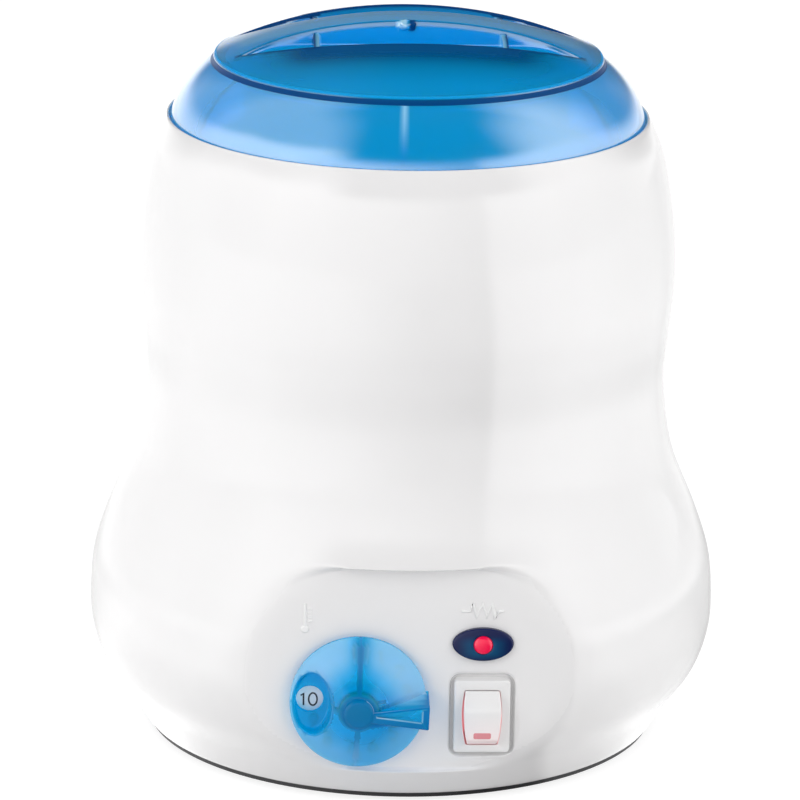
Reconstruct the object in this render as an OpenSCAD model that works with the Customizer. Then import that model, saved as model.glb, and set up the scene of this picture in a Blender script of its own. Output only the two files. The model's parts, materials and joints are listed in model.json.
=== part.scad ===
// Professional wax warmer: a peanut-shaped moulded body on a dark base, a heated
// aluminium chamber for a tin of wax, a translucent blue lid with two finger wells,
// and a flat control panel with a dial, a pilot lamp and a rocker switch.
// Z is up, the panel faces -Y, and the origin is on the table under the middle.

/* [Body] */
// Largest radius of the body, low down
bulge_r = 87.4; // [86:0.2:89]
// Radius of the waist
waist_r = 72.5; // [71.5:0.1:74]
// Radius of the upper swell
chest_r = 74.9; // [74:0.1:77]
// Radius of the body's lower edge
base_r = 71.9; // [71:0.1:73]
// Height of the body's upper edge above the table
body_top = 175; // [174.5:0.1:176]
// Wall of the moulded body
wall = 2.5; // [2:0.1:3]

/* [Control panel] */
// Distance of the flat panel in front of the axis
panel_y = 75; // [74:0.5:76]
// Height of the panel's lower ledge
panel_low = 11; // [9:0.5:13]
// Height of the panel's upper ledge
panel_high = 68.4; // [66:0.2:70]
// Dial axis, to the left of the middle
dial_x = 13.9; // [12:0.1:16]
// Height of the dial axis
dial_z = 31; // [29:0.5:33]
// Switch and lamp, to the right of the middle
switch_x = 19.5; // [18:0.5:21]
// Height of the switch
switch_z = 26.4; // [25:0.2:28]
// Height of the pilot lamp
lamp_z = 47; // [46:0.5:50]

/* [Dial] */
// Diameter of the dial knob
knob_d = 36.8; // [34:0.2:38]
// Height of the knob from its rim plane to the grip
knob_h = 11; // [9:0.5:12]
// Angle by which the knob is turned past the ten, clockwise seen from the front
knob_turn = 2; // [0:0.5:4]

/* [Rocker switch] */
// Angle to which the rocker is tipped, its upper end pressed in
rocker_tip = 10; // [8:0.5:10]

/* [Heated chamber] */
// Inner radius of the chamber, for a tin 102 mm across
chamber_r = 53; // [52:0.5:53.5]
// Depth of the chamber
chamber_depth = 120; // [110:1:121]

/* [Lid] */
// Outer radius of the lid at its rim
lid_r = 65.2; // [65:0.1:65.3]
// Radius at which the lid's flank meets its domed top
dome_r = 53.2; // [52:0.2:54]
// Height of the dome above its own edge
dome_rise = 10.8; // [10:0.2:12]
// Wall of the lid
lid_wall = 2; // [1.6:0.1:2.2]
// Half the width of the bar between the two finger wells
bar_half = 6.5; // [6:0.5:8]

/* [Hidden] */
$fn = 96;

// Shared heights, from the table up
foot_h = 1.5;
plate_low = foot_h;
shell_low = 2.7;
plate_top = 5;
deck_z = 172;
deck_t = 2.5;
mouth_r = 56.5;
crest_r = 65.8;
gasket_t = 1;
flange_t = 1.2;
flange_low = deck_z + gasket_t;
flange_z = flange_low + flange_t;
flange_r = 61.5;
floor_z = flange_z - chamber_depth;
chamber_low = floor_z - flange_t;
chamber_out = chamber_r + flange_t;

// Colours
white = "whitesmoke";
dark = "dimgray";
blue = "deepskyblue";
steel = "silver";
brass = "goldenrod";

function mix(a, b, t) = a + (b - a) * t;

// Point at t between keys[i] and keys[i + 1] on a smooth curve through all keys
function key(keys, i) = keys[max(0, min(len(keys) - 1, i))];
function curve_point(keys, i, t) =
    let (a = key(keys, i - 1), b = key(keys, i), c = key(keys, i + 1), d = key(keys, i + 2))
    0.5 * (2 * b + (c - a) * t + (2 * a - 5 * b + 4 * c - d) * t * t
        + (3 * b - a - 3 * c + d) * t * t * t);
function curve(keys, steps) = concat(
    [for (i = [0 : len(keys) - 2]) for (s = [0 : steps - 1]) curve_point(keys, i, s / steps)],
    [keys[len(keys) - 1]]);

// The same outline moved inwards by d, square to itself
function unit(v) = v / norm(v);
function inset(p, d) = [for (i = [0 : len(p) - 1])
    let (t = unit(p[min(i + 1, len(p) - 1)] - p[max(i - 1, 0)]))
    p[i] + d * [-t[1], t[0]]];
function reversed(p) = [for (i = [len(p) - 1 : -1 : 0]) p[i]];

// Side outline of the body: radius and height of a few stations, low to high
side_keys = [
    [base_r, shell_low],
    [mix(base_r, bulge_r, 0.35), 11.5],
    [mix(base_r, bulge_r, 0.78), 21],
    [mix(base_r, bulge_r, 0.985), 31],
    [bulge_r, 41],
    [mix(waist_r, bulge_r, 0.926), 51],
    [mix(waist_r, bulge_r, 0.658), 63],
    [mix(waist_r, bulge_r, 0.242), 78],
    [mix(waist_r, bulge_r, 0.067), 90],
    [waist_r, 104],
    [mix(waist_r, chest_r, 0.58), 118],
    [chest_r, 131],
    [chest_r - 0.6, 145],
    [chest_r - 2.5, 158],
    [chest_r - 5.1, 168],
    [crest_r + 0.6, body_top]
];
side_steps = 3;
side = curve(side_keys, side_steps);
inside = [for (p = inset(side, wall)) if (p[1] < deck_z - deck_t && p[1] > shell_low) p];

// Places around the axis, measured from the front, seen from above
function at_angle(r, a) = [r * sin(a), -r * cos(a), 0];
screw_r = 62;
screw_angles = [68, 112, 248, 292];
foot_r = 58;
foot_angles = [35, 145, 215, 325];
spacer_r = 40;
spacer_angles = [60, 180, 300];

// Base screws and their pillars in the body
boss_d = 8;
boss_top = 24;
screw_d = 3;
screw_head_d = 6;

// Places behind the panel
panel_in = panel_y - wall;
recess_deep = 1.2;
recess_y = panel_y - recess_deep;
bezel_w = 15;
bezel_h = 21;
bezel_t = 2.2;
pivot_y = 72.9;
pivot_r = 1.1;
rocker_half = 5.1;
rocker_bulge = 0.7;
knob_y = panel_y + 1.2;
knob_r = knob_d / 2;
shaft_r = 3;
shaft_flat = 1.6;
stat_front = 68.5;
stat_back = 46;
stat_w = 34;
stat_h = 32;
bracket_t = 1;
bracket_reach = 21;
cord_z = 30;
cord_pad_y = 88.4;

// Points on an arc about [cx, cy], both ends included
function arc(cx, cy, r, a0, a1, n) =
    [for (i = [0 : n]) let (a = a0 + (a1 - a0) * i / n) [cx + r * cos(a), cy + r * sin(a)]];
// Points on an arc of radius r that bulges to the right on its way from p to q
function bow(p, q, r, n) =
    let (m = (p + q) / 2, d = q - p, h = sqrt(r * r - d * d / 4),
         c = m + h * [-d[1], d[0]] / norm(d),
         a0 = atan2(p[1] - c[1], p[0] - c[0]), a1 = atan2(q[1] - c[1], q[0] - c[0]))
    arc(c[0], c[1], r, a0, a1, n);
// Rectangle w by h about the origin with round corners
function round_box(w, h, r, n = 6) = concat(
    arc(w / 2 - r, h / 2 - r, r, 0, 90, n), arc(r - w / 2, h / 2 - r, r, 90, 180, n),
    arc(r - w / 2, r - h / 2, r, 180, 270, n), arc(w / 2 - r, r - h / 2, r, 270, 360, n));

// Radius of an arc over a chord of twice half that rises by rise
function cap_r(half, rise) = (half * half + rise * rise) / (2 * rise);
// Outline of twice half by twice reach whose sides bulge by so much
function barrel(half, bulge, reach) =
    let (side = bow([half - bulge, -reach], [half - bulge, reach], cap_r(reach, bulge), 6))
    concat(side, [for (p = reversed(side)) [-p[0], p[1]]]);

// Turns a piece drawn lying on XY so that it faces out of the panel
module facing(x, z, y) {
    translate([x, -y, z]) rotate([90, 0, 0]) children();
}

// Repeats a piece at places around the axis
module around(r, angles, z) {
    for (a = angles) translate(at_angle(r, a) + [0, 0, z]) rotate([0, 0, a]) children();
}

module ring(r_out, r_in, h) {
    difference() {
        cylinder(r = r_out, h = h);
        translate([0, 0, -1]) cylinder(r = r_in, h = h + 2);
    }
}

// Tube of radius r along a smooth curve through the given points
tube_sides = 8;
function along(p, i) = unit(p[min(i + 1, len(p) - 1)] - p[max(i - 1, 0)]);
// Carries direction u on to the next ring, kept square to the curve there
function carried(u, t) = unit(u - t * (u * t));
module tube(keys, r, steps = 4) {
    p = curve(keys, steps);
    n = len(p);
    start = unit(cross(along(p, 0), [0.3, 0.5, 0.8]));
    sides = [for (i = 0, u = start; i < n; i = i + 1, u = carried(u, along(p, min(i, n - 1)))) u];
    points = [for (i = [0 : n - 1]) let (u = sides[i], v = cross(along(p, i), u))
        for (s = [0 : tube_sides - 1])
            let (a = 360 * s / tube_sides) p[i] + r * (cos(a) * u + sin(a) * v)];
    faces = concat(
        [[for (s = [0 : tube_sides - 1]) s]],
        [for (i = [0 : n - 2]) for (s = [0 : tube_sides - 1])
            let (a = i * tube_sides + s, b = i * tube_sides + (s + 1) % tube_sides)
            [a, a + tube_sides, b + tube_sides, b]],
        [[for (s = [tube_sides - 1 : -1 : 0]) (n - 1) * tube_sides + s]]);
    polyhedron(points, faces);
}

// Body shell: outline, panel, pillars and the holes through it

module body_solid() {
    rotate_extrude() polygon(concat([[0, shell_low]], side, [[0, body_top]]));
}

module body_wall() {
    rotate_extrude() polygon(concat(
        side, [[crest_r, body_top], [crest_r, deck_z], [mouth_r, deck_z],
        [mouth_r, deck_z - deck_t], [inside[len(inside) - 1][0], deck_z - deck_t]],
        reversed(inside), [[base_r - wall, shell_low]]));
}

panel_w = 89;
panel_corner = 22;
module panel_mask(grow) {
    w = panel_w / 2 + grow;
    low = panel_low - grow;
    high = panel_high + grow;
    r = panel_corner;
    polygon(concat([[w, low]], arc(w - r, high - r, r, 0, 90, 8),
        arc(r - w, high - r, r, 90, 180, 8), [[-w, low]]));
}

module panel_space(grow, y) {
    facing(0, 0, y) linear_extrude(40) panel_mask(grow);
}

pillar_web = [2, 24, boss_top - plate_top - 7];
module screw_pillars() {
    around(screw_r, screw_angles, plate_top) {
        cylinder(d = boss_d, h = boss_top - plate_top);
        // Web from the pillar out to the wall
        translate([-pillar_web[0] / 2, -pillar_web[1], 5]) cube(pillar_web);
    }
}

recess_w = 17.4;
recess_h = 23.2;
cut_w = 13;
cut_h = 19.4;
shaft_hole_d = 7.6;
lens_neck_d = 9;
bracket_post_d = 6;
bracket_screw_d = 2.5;
cord_pad_d = 20;
cord_pad_in = 80;
bush_d = 12;
module switch_recess() {
    facing(switch_x, switch_z, recess_y) {
        linear_extrude(5) polygon(round_box(recess_w, recess_h, 3));
        translate([-cut_w / 2, -cut_h / 2, -10]) cube([cut_w, cut_h, 12]);
    }
}

module body_shell() {
    color(white) difference() {
        union() {
            body_wall();
            intersection() {
                body_solid();
                union() {
                    panel_space(wall, panel_in);
                    screw_pillars();
                }
            }
            for (side = [-1, 1])
                facing(side * bracket_reach - dial_x, dial_z, stat_front + bracket_t)
                    cylinder(d = bracket_post_d, h = panel_in - stat_front);
            // Flat pad round the cord inlet
            translate([0, cord_pad_in, cord_z]) rotate([-90, 0, 0])
                cylinder(d = cord_pad_d, h = cord_pad_y - cord_pad_in);
        }
        panel_space(0, panel_y);
        switch_recess();
        facing(-dial_x, dial_z, panel_in - 1) cylinder(d = shaft_hole_d, h = 6);
        facing(switch_x, lamp_z, panel_in - 1) cylinder(d = lens_neck_d, h = 6);
        for (side = [-1, 1]) facing(side * bracket_reach - dial_x, dial_z, stat_front)
            cylinder(d = bracket_screw_d, h = 4.5);
        translate([0, cord_pad_in - 6, cord_z]) rotate([-90, 0, 0]) cylinder(d = bush_d, h = 20);
        around(screw_r, screw_angles, 0) cylinder(d = screw_d, h = boss_top - 4);
        // The hollow under the pad stays open for the nut
        translate([0, cord_pad_in - 10, cord_z]) rotate([-90, 0, 0])
            cylinder(d = cord_pad_d + 1, h = 13);
    }
}

// Base plate with vents, screw wells and sockets for the feet
plate_r = 71.2;
plate_in_r = base_r - wall - 0.4;
well_d = 8;
module base_plate() {
    color(dark) difference() {
        union() {
            translate([0, 0, plate_low]) cylinder(r = plate_r, h = shell_low - plate_low);
            translate([0, 0, shell_low]) cylinder(r = plate_in_r, h = plate_top - shell_low);
        }
        // The upper side is dished between the rim and the fixing islands
        difference() {
            translate([0, 0, plate_top - 1.3]) cylinder(r = plate_in_r - 2, h = 3);
            around(screw_r, screw_angles, 0) cylinder(d = boss_d + 3, h = 9);
            around(foot_r, foot_angles, 0) cylinder(d = 15, h = 9);
            around(spacer_r, spacer_angles, 0) cylinder(d = 14, h = 9);
            translate([10, 26, 0]) cube([34, 18, 9]);
        }
        around(screw_r, screw_angles, 0) {
            cylinder(d = well_d, h = plate_top - 1.5);
            cylinder(d = screw_d + 0.4, h = 9);
        }
        around(spacer_r, spacer_angles, 0) {
            cylinder(d = 9, h = plate_top - 1.5);
            cylinder(d = 4.2, h = 9);
        }
        around(foot_r, foot_angles, 0) {
            cylinder(d = 12.4, h = plate_low + 1.5);
            cylinder(d = 5, h = 9);
        }
        for (a = [80, 100, 120, 140, 220, 240, 260, 280, 0, 20, 340])
            rotate([0, 0, a]) translate([-1.5, -30, 0]) cube([3, 14, 9]);
        for (x = block_screws) translate([x, block_y + 7, 0]) {
            cylinder(d = 5, h = plate_top - 1.5);
            cylinder(d = 2.6, h = 9);
        }
    }
}

module rubber_feet() {
    color("black") around(foot_r, foot_angles, 0) {
        difference() {
            union() {
                cylinder(d1 = 11, d2 = 12, h = 1);
                translate([0, 0, 1]) cylinder(d = 12, h = plate_low + 0.5);
            }
            translate([0, 0, -1]) cylinder(d = 4, h = 2.5);
        }
        // Neck and barb pressed through the plate
        translate([0, 0, plate_low + 1.5]) cylinder(d = 4.8, h = plate_top - plate_low - 1.5);
        translate([0, 0, plate_top]) cylinder(d1 = 7, d2 = 4, h = 3);
    }
}

// Pan-head screw pointing up, its head at the bottom
module screw(d, head_d, head_h, length) {
    difference() {
        cylinder(d = head_d, h = head_h);
        for (a = [0, 90]) rotate([0, 0, a])
            translate([-head_d * 0.3, -0.4, -1]) cube([head_d * 0.6, 0.8, 1 + head_h * 0.5]);
    }
    translate([0, 0, head_h]) cylinder(d = d, h = length);
}

module base_screws() {
    color(steel) around(screw_r, screw_angles, plate_top - 1.5 - 2)
        screw(screw_d, screw_head_d, 2, 16);
}

// Spun aluminium chamber with its flange and weld studs
floor_round = 6;
stud_d = 4;
clip_stud_d = 3;
bulb_y = -2;
bulb_r = 3;
fuse_x = -16;
fuse_y = 22;
fuse_r = 2;
earth_at = [20, 24];
clip_studs = [[-3, bulb_y - 8], [-3, bulb_y + 8], [fuse_x, fuse_y - 7],
    [fuse_x, fuse_y + 7]];
module heating_chamber() {
    color("gainsboro") {
        rotate_extrude() polygon(concat(
            [[0, chamber_low], [chamber_out - floor_round, chamber_low]],
            arc(chamber_out - floor_round, chamber_low + floor_round, floor_round, -90, 0, 6),
            [[chamber_out, flange_low], [flange_r, flange_low], [flange_r, flange_z],
            [chamber_r, flange_z]],
            arc(chamber_r - floor_round + 1, floor_z + floor_round - 1, floor_round - 1, 0, -90, 6),
            [[0, floor_z]]));
        around(spacer_r, spacer_angles, chamber_low - 8) cylinder(d = stud_d, h = 8.2);
        for (p = clip_studs) translate([p[0], p[1], chamber_low - 5])
            cylinder(d = clip_stud_d, h = 5.2);
        translate([earth_at[0], earth_at[1], chamber_low - 8]) cylinder(d = stud_d, h = 8.2);
    }
}

module chamber_gasket() {
    color("white") translate([0, 0, deck_z]) ring(flange_r, mouth_r + 0.5, gasket_t);
}

// Hexagonal pillars between the plate and the chamber
module chamber_spacers() {
    color(brass) around(spacer_r, spacer_angles, plate_top) difference() {
        cylinder(d = 9, h = chamber_low - plate_top, $fn = 6);
        translate([0, 0, -1]) cylinder(d = stud_d, h = 11);
        translate([0, 0, chamber_low - plate_top - 9]) cylinder(d = stud_d, h = 10);
    }
}

module spacer_screws() {
    color(steel) around(spacer_r, spacer_angles, plate_top - 1.5 - 2)
        screw(stud_d, 7.6, 2, 10);
}

// Band heater round the chamber, closed by lugs and a bolt at the back
band_low = 62;
band_h = 40;
band_t = 2;
band_out = chamber_out + band_t;
lug_y = 66;
lug_gap = 4;
post_x = 14;
post_y = 59;
post_z = band_low + 6;
module band_heater() {
    color("darkgray") difference() {
        union() {
            translate([0, 0, band_low]) ring(band_out, chamber_out, band_h);
            for (side = [-1, 1]) {
                translate([side * (lug_gap / 2 + 1) - 1, band_out - 1.5, band_low + 8])
                    cube([2, lug_y + 5 - band_out, band_h - 16]);
                // Lead posts
                translate([side * post_x, post_y - 8, post_z]) rotate([-90, 0, 0])
                    cylinder(d = 5, h = 8);
            }
        }
        translate([-lug_gap / 2, 50, band_low - 1]) cube([lug_gap, 20, band_h + 2]);
        translate([-10, lug_y, band_low + band_h / 2]) rotate([0, 90, 0])
            cylinder(d = stud_d, h = 20);
        translate([0, 0, band_low - 1]) cylinder(r = chamber_out, h = band_h + 2);
    }
}

module heater_clamp_screw() {
    color(steel) translate([-10, lug_y, band_low + band_h / 2]) rotate([0, 90, 0]) {
        difference() {
            translate([0, 0, 4]) cylinder(d = 7, h = 2, $fn = 6);
            translate([0, 0, 3]) cylinder(d = 2, h = 1.6);
        }
        translate([0, 0, 6]) cylinder(d = stud_d, h = 10);
        // Its nut
        translate([0, 0, 14]) difference() {
            cylinder(d = 7, h = 2.6, $fn = 6);
            translate([0, 0, -1]) cylinder(d = stud_d, h = 5);
        }
    }
}

sleeve_low = 57;
sleeve_high = 150;
sleeve_t = 4;
module insulation_sleeve() {
    color("ivory") difference() {
        translate([0, 0, sleeve_low])
            ring(band_out + sleeve_t, band_out, sleeve_high - sleeve_low);
        translate([-20, 40, sleeve_low - 1]) cube([40, 30, sleeve_high - sleeve_low + 2]);
    }
}

// Capillary thermostat behind the dial
module thermostat_body() {
    color("saddlebrown") facing(-dial_x, dial_z, stat_back) difference() {
        union() {
            linear_extrude(stat_front - stat_back) polygon(round_box(stat_w, stat_h, 3));
            // Collar that centres it in the bracket
            cylinder(d = 10, h = stat_front - stat_back + 2.5);
            // Sockets of the two terminals
            for (side = [-1, 1]) translate([side * 9 - 4, -2, -3]) cube([8, 4, 4]);
            translate([10, 9, -2]) cylinder(d = 4, h = 3);
        }
        translate([0, 0, stat_front - stat_back - 12]) cylinder(r = shaft_r + 0.06, h = 20);
        translate([10, 9, -3]) cylinder(d = capillary_d, h = 3);
        for (side = [-1, 1]) translate([side * 9 - 3, -0.4, -4]) cube([6, 0.8, 4]);
    }
}

module thermostat_bracket() {
    color(steel) facing(-dial_x, dial_z, stat_front) difference() {
        linear_extrude(bracket_t) union() {
            square([stat_w - 2, stat_h - 2], center = true);
            polygon(round_box(2 * bracket_reach + 8, 8, 3.9));
        }
        translate([0, 0, -1]) cylinder(d = 10, h = 4);
        for (side = [-1, 1])
            translate([side * bracket_reach, 0, -1]) cylinder(d = 2.9, h = 4);
    }
}

module thermostat_screws() {
    color(steel) for (side = [-1, 1])
        facing(side * bracket_reach - dial_x, dial_z, stat_front - 1.8)
            screw(bracket_screw_d, 5, 1.8, 4.2);
}

// Sensor bulb under the chamber floor and its hair tube
capillary_d = 1.6;
bulb_x0 = -26;
bulb_x1 = 20;
bulb_z = chamber_low - bulb_r;
module sensor_bulb() {
    color("peru") translate([bulb_x0, bulb_y, bulb_z]) rotate([0, 90, 0]) {
        translate([0, 0, 1]) cylinder(r = bulb_r, h = bulb_x1 - bulb_x0 - 3);
        cylinder(r1 = bulb_r - 1, r2 = bulb_r, h = 1);
        translate([0, 0, bulb_x1 - bulb_x0 - 2]) cylinder(r1 = bulb_r, r2 = 1.2, h = 2);
    }
}

module capillary_tube() {
    color("peru") tube(concat(
        straight([10 - dial_x, 1 - stat_back, dial_z + 9], to_back),
        [[2, -32, 42], [15, -20, 46], [27, -10, 49], [29, -3, bulb_z]],
        reversed(straight([bulb_x1, bulb_y, bulb_z], to_right))), capillary_d / 2, 3);
}

// Strap that holds a rod of radius r against the chamber floor
strap_t = 1;
module strap(x, y, r, half, w) {
    translate([x - w / 2, y, chamber_low]) rotate([90, 0, 90]) difference() {
        linear_extrude(w) difference() {
            union() {
                translate([0, -r]) circle(r = r + strap_t);
                translate([-r - strap_t, -r]) square([2 * (r + strap_t), r]);
                translate([-half - 3, -strap_t]) square([2 * half + 6, strap_t]);
            }
            translate([0, -r]) circle(r = r);
            translate([-r, -r]) square([2 * r, r + 2]);
            translate([-half, 0]) square([2 * half, r + 2]);
        }
        for (side = [-1, 1]) translate([side * half, 3, w / 2]) rotate([90, 0, 0])
            cylinder(d = clip_stud_d, h = 6);
    }
}

module bulb_clip() {
    color(steel) strap(-3, bulb_y, bulb_r, 8, 8);
}

module fuse_clip() {
    color(steel) strap(fuse_x, fuse_y, fuse_r, 7, 7);
}

module thermal_fuse() {
    color("lightgray") translate([fuse_x, fuse_y, chamber_low - fuse_r]) rotate([0, 90, 0]) {
        translate([0, 0, -6]) cylinder(r = fuse_r, h = 12);
        translate([0, 0, -9]) cylinder(r = 0.8, h = 18);
    }
}

module clip_nuts() {
    color(steel) for (p = clip_studs) translate([p[0], p[1], chamber_low - strap_t - 2.2])
        difference() {
            cylinder(d = 6.2, h = 2.2, $fn = 6);
            translate([0, 0, -1]) cylinder(d = clip_stud_d, h = 5);
        }
}

// Rocker switch: snap-in housing with a barrel-shaped well for the rocker
rocker_gap = 0.25;
// The well reaches further down than up, because the rocker's lower end is round
well_reach = 8.1;
well_shift = -0.3;
well_lip = 1.2;
module rocker_shaft(side, end) {
    translate([0, well_shift]) polygon(barrel(rocker_half + side, rocker_bulge, well_reach + end));
}

module switch_housing() {
    color(white) facing(switch_x, switch_z, recess_y) difference() {
        union() {
            linear_extrude(bezel_t) polygon(round_box(bezel_w, bezel_h, 1));
            translate([-6.4, -9.5, -14]) cube([12.8, 19, 14.5]);
            // Snap barbs behind the panel
            for (side = [-1, 1]) translate([0, side * 9.5, -1.4]) rotate([0, 90, 0])
                translate([0, 0, -3])
                linear_extrude(6) polygon([[0, 0], [0, side * 1], [5, 0]]);
        }
        translate([0, 0, -7.5]) linear_extrude(20) rocker_shaft(rocker_gap, 0);
        translate([0, 0, -7.5]) linear_extrude(7.5 + bezel_t - well_lip) rocker_shaft(rocker_gap, 0.4);
        translate([-8, 0, pivot_y - recess_y]) rotate([0, 90, 0])
            cylinder(r = pivot_r + 0.08, h = 16);
    }
}

module switch_terminals() {
    color(brass) facing(switch_x, switch_z, recess_y - 14) for (v = [-6, 0, 6])
        difference() {
            translate([-2.4, v - 0.4, -8]) cube([4.8, 0.8, 8]);
            translate([0, v + 2, -5]) rotate([90, 0, 0]) cylinder(d = 1.6, h = 4);
        }
}

// Rocker seen from its side: the ridge between its two faces stands out, its upper end
// is straight and its lower end runs round the pivot
ridge = [1.6, 6.5];
rocker_reach = 6.8;
rocker_foot = 6.6;
end_r = 8.45;
upper_slope = 16;
module rocker_outline() {
    top = ridge[1] - (rocker_reach - ridge[0]) * tan(upper_slope);
    corner = [-rocker_foot, ridge[1] - (rocker_foot + ridge[0]) * tan(rocker_tip)];
    polygon(concat(
        [ridge, corner], arc(0, 0, end_r, 146, 178, 6),
        arc(0, 0, 2.4, 200, 340, 6),
        [[rocker_reach - 0.3, 0.2], [rocker_reach, top - 0.5], [rocker_reach - 0.5, top + 0.1]]));
}

module in_rocker() {
    facing(switch_x, switch_z, pivot_y) rotate([-rocker_tip, 0, 0]) children();
}

module window_block() {
    translate([-2.4, -6.4, 3.4]) cube([4.8, 1.7, 6]);
}

module rocker_body() {
    intersection() {
        rotate([90, 0, 90]) translate([0, 0, -rocker_half - 1])
            linear_extrude(2 * rocker_half + 2) rocker_outline();
        translate([0, 0, -5]) linear_extrude(20) rocker_shaft(0, 1);
    }
}

pivot_reach = 6.3;
module switch_rocker() {
    color(white) in_rocker() difference() {
        union() {
            rocker_body();
            rotate([0, 90, 0]) translate([0, 0, -pivot_reach])
                cylinder(r = pivot_r, h = 2 * pivot_reach);
        }
        window_block();
    }
}

module rocker_window() {
    color("salmon") in_rocker() intersection() {
        window_block();
        rocker_body();
    }
}

// Pilot lamp: an oval tinted lens round a red lamp, held by a ring behind the panel
lens_w = 16.3;
lens_h = 9.2;
lamp_r = 2.65;
module pilot_lens() {
    color("midnightblue") facing(switch_x, lamp_z, panel_y) difference() {
        union() {
            intersection() {
                linear_extrude(3) scale([1, lens_h / lens_w]) circle(d = lens_w);
                translate([0, 0, 1.9 - 32]) sphere(r = 32);
            }
            translate([0, 0, -7]) cylinder(d = lens_neck_d, h = 7.5);
        }
        translate([0, 0, -8]) cylinder(r = lamp_r, h = 12);
    }
}

module pilot_lamp() {
    color("red") facing(switch_x, lamp_z, panel_y) {
        translate([0, 0, -14]) cylinder(r = lamp_r, h = 15.5);
        translate([0, 0, 1.5]) cylinder(r1 = lamp_r, r2 = lamp_r - 0.8, h = 0.4);
        for (side = [-1, 1]) translate([side * 1.2, 0, -17]) cylinder(r = 0.4, h = 3.2);
    }
}

module lens_retainer() {
    color(steel) facing(switch_x, lamp_z, panel_in - 1.2) ring(7, lens_neck_d / 2, 1.2);
}

// Terminal block on the plate, its wire entries towards the front
block_x = 12;
block_y = 28;
block_z = 9;
pole_deep = 5;
poles = [0, 1, 2];
function pole_x(i) = block_x + 5 + 10 * i;
block_screws = [block_x + 10, block_x + 20];
module terminal_block() {
    color("ivory") difference() {
        union() {
            translate([block_x, block_y, plate_top]) cube([30, 14, 7]);
            for (i = poles) translate([pole_x(i) - 3.6, block_y + 1, plate_top]) cube([7.2, 12, 12]);
        }
        for (i = poles) {
            translate([pole_x(i), block_y - 1, block_z]) rotate([-90, 0, 0])
                cylinder(d = 2.6, h = 1 + pole_deep);
            translate([pole_x(i), block_y + 4.5, plate_top + 8]) cylinder(d = 3.4, h = 5);
        }
        for (x = block_screws) translate([x, block_y + 7, 0]) cylinder(d = 2.6, h = 15);
    }
}

module terminal_block_screws() {
    color(steel) for (x = block_screws)
        translate([x, block_y + 7, plate_top - 1.5 - 1.2]) screw(2.6, 4.6, 1.2, 7);
}

// Bush and nut of the cord inlet at the back
module cord_bush() {
    color("black") translate([0, cord_pad_y, cord_z]) rotate([90, 0, 0]) difference() {
        union() {
            translate([0, 0, -2]) cylinder(d = 17, h = 2);
            cylinder(d = bush_d, h = 12);
        }
        translate([0, 0, -3]) cylinder(d = 7.4, h = 20);
    }
}

module cord_bush_nut() {
    color("dimgray") translate([0, 83, cord_z]) rotate([90, 0, 0]) difference() {
        cylinder(d = 18, h = 3, $fn = 6);
        translate([0, 0, -1]) cylinder(d = bush_d, h = 6);
    }
}

// Inner wiring: every wire leaves its terminals on a straight stretch
wire_r = 1.1;
stretch = 2.5;
switch_blade_y = 22 - recess_y;
stat_blade_y = 3 - stat_back;
fuse_z = chamber_low - fuse_r;
tag_z = chamber_low - 1.5;
to_front = [0, -1, 0];
to_back = [0, 1, 0];
to_left = [-1, 0, 0];
to_right = [1, 0, 0];
function straight(p, way) = [for (i = [0 : 2]) p + i * stretch * way];
function at_pole(i) = straight([pole_x(i), block_y + pole_deep, block_z], 2 * to_front);
function at_switch(v) = straight([switch_x, switch_blade_y, switch_z + v], to_back);
function at_thermostat(u) = straight([u - dial_x, stat_blade_y, dial_z], to_back);
function at_post(side) = straight([side * post_x, post_y, post_z], to_back);
module wire(start, way, end) {
    tube(concat(start, way, reversed(end)), wire_r, 3);
}

module live_wires() {
    color("sienna") {
        // Terminal block to switch, switch to thermostat, thermostat to fuse, fuse to heater
        wire(at_pole(0), [[17, 8, 8], [14, -12, 9], [16, -36, 13]], at_switch(-6));
        wire(at_switch(0), [[12, -37, 24], [2, -34, 25], [-3, -35, 29]], at_thermostat(9));
        wire(at_thermostat(-9), [[-27, -24, 34], [-31, -8, 42], [-34, 10, 49]],
            straight([fuse_x - 9, fuse_y, fuse_z], to_left));
        wire(straight([fuse_x + 9, fuse_y, fuse_z], to_right), [[0, 29, 43], [-9, 46, 41],
            [-15, 66, 50], [-15, 68, 61]], at_post(-1));
    }
}

module neutral_wires() {
    color("royalblue") wire(at_pole(1), [[27, 19, 14], [30, 20, 27], [35, 36, 38],
        [26, 58, 46], [15, 68, 59]], at_post(1));
}

module earth_wire() {
    color("yellowgreen") wire(at_pole(2), [[37, 20, 13], [40, 16, 24], [41, 18, 38], [38, 22, 48]],
        straight([earth_at[0] + 8, earth_at[1], tag_z], to_right));
}

module earth_tag() {
    color(brass) translate([earth_at[0], earth_at[1], chamber_low - 0.8]) difference() {
        union() {
            cylinder(d = 9, h = 0.8);
            translate([0, -2.2, 0]) cube([7, 4.4, 0.8]);
            translate([5, -2.2, -1.8]) cube([3, 4.4, 2]);
        }
        translate([0, 0, -1]) cylinder(d = stud_d, h = 3);
    }
}

module earth_nut() {
    color(steel) translate([earth_at[0], earth_at[1], chamber_low - 4]) difference() {
        cylinder(d = 8, h = 3.2, $fn = 6);
        translate([0, 0, -1]) cylinder(d = stud_d, h = 6);
    }
}

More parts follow.
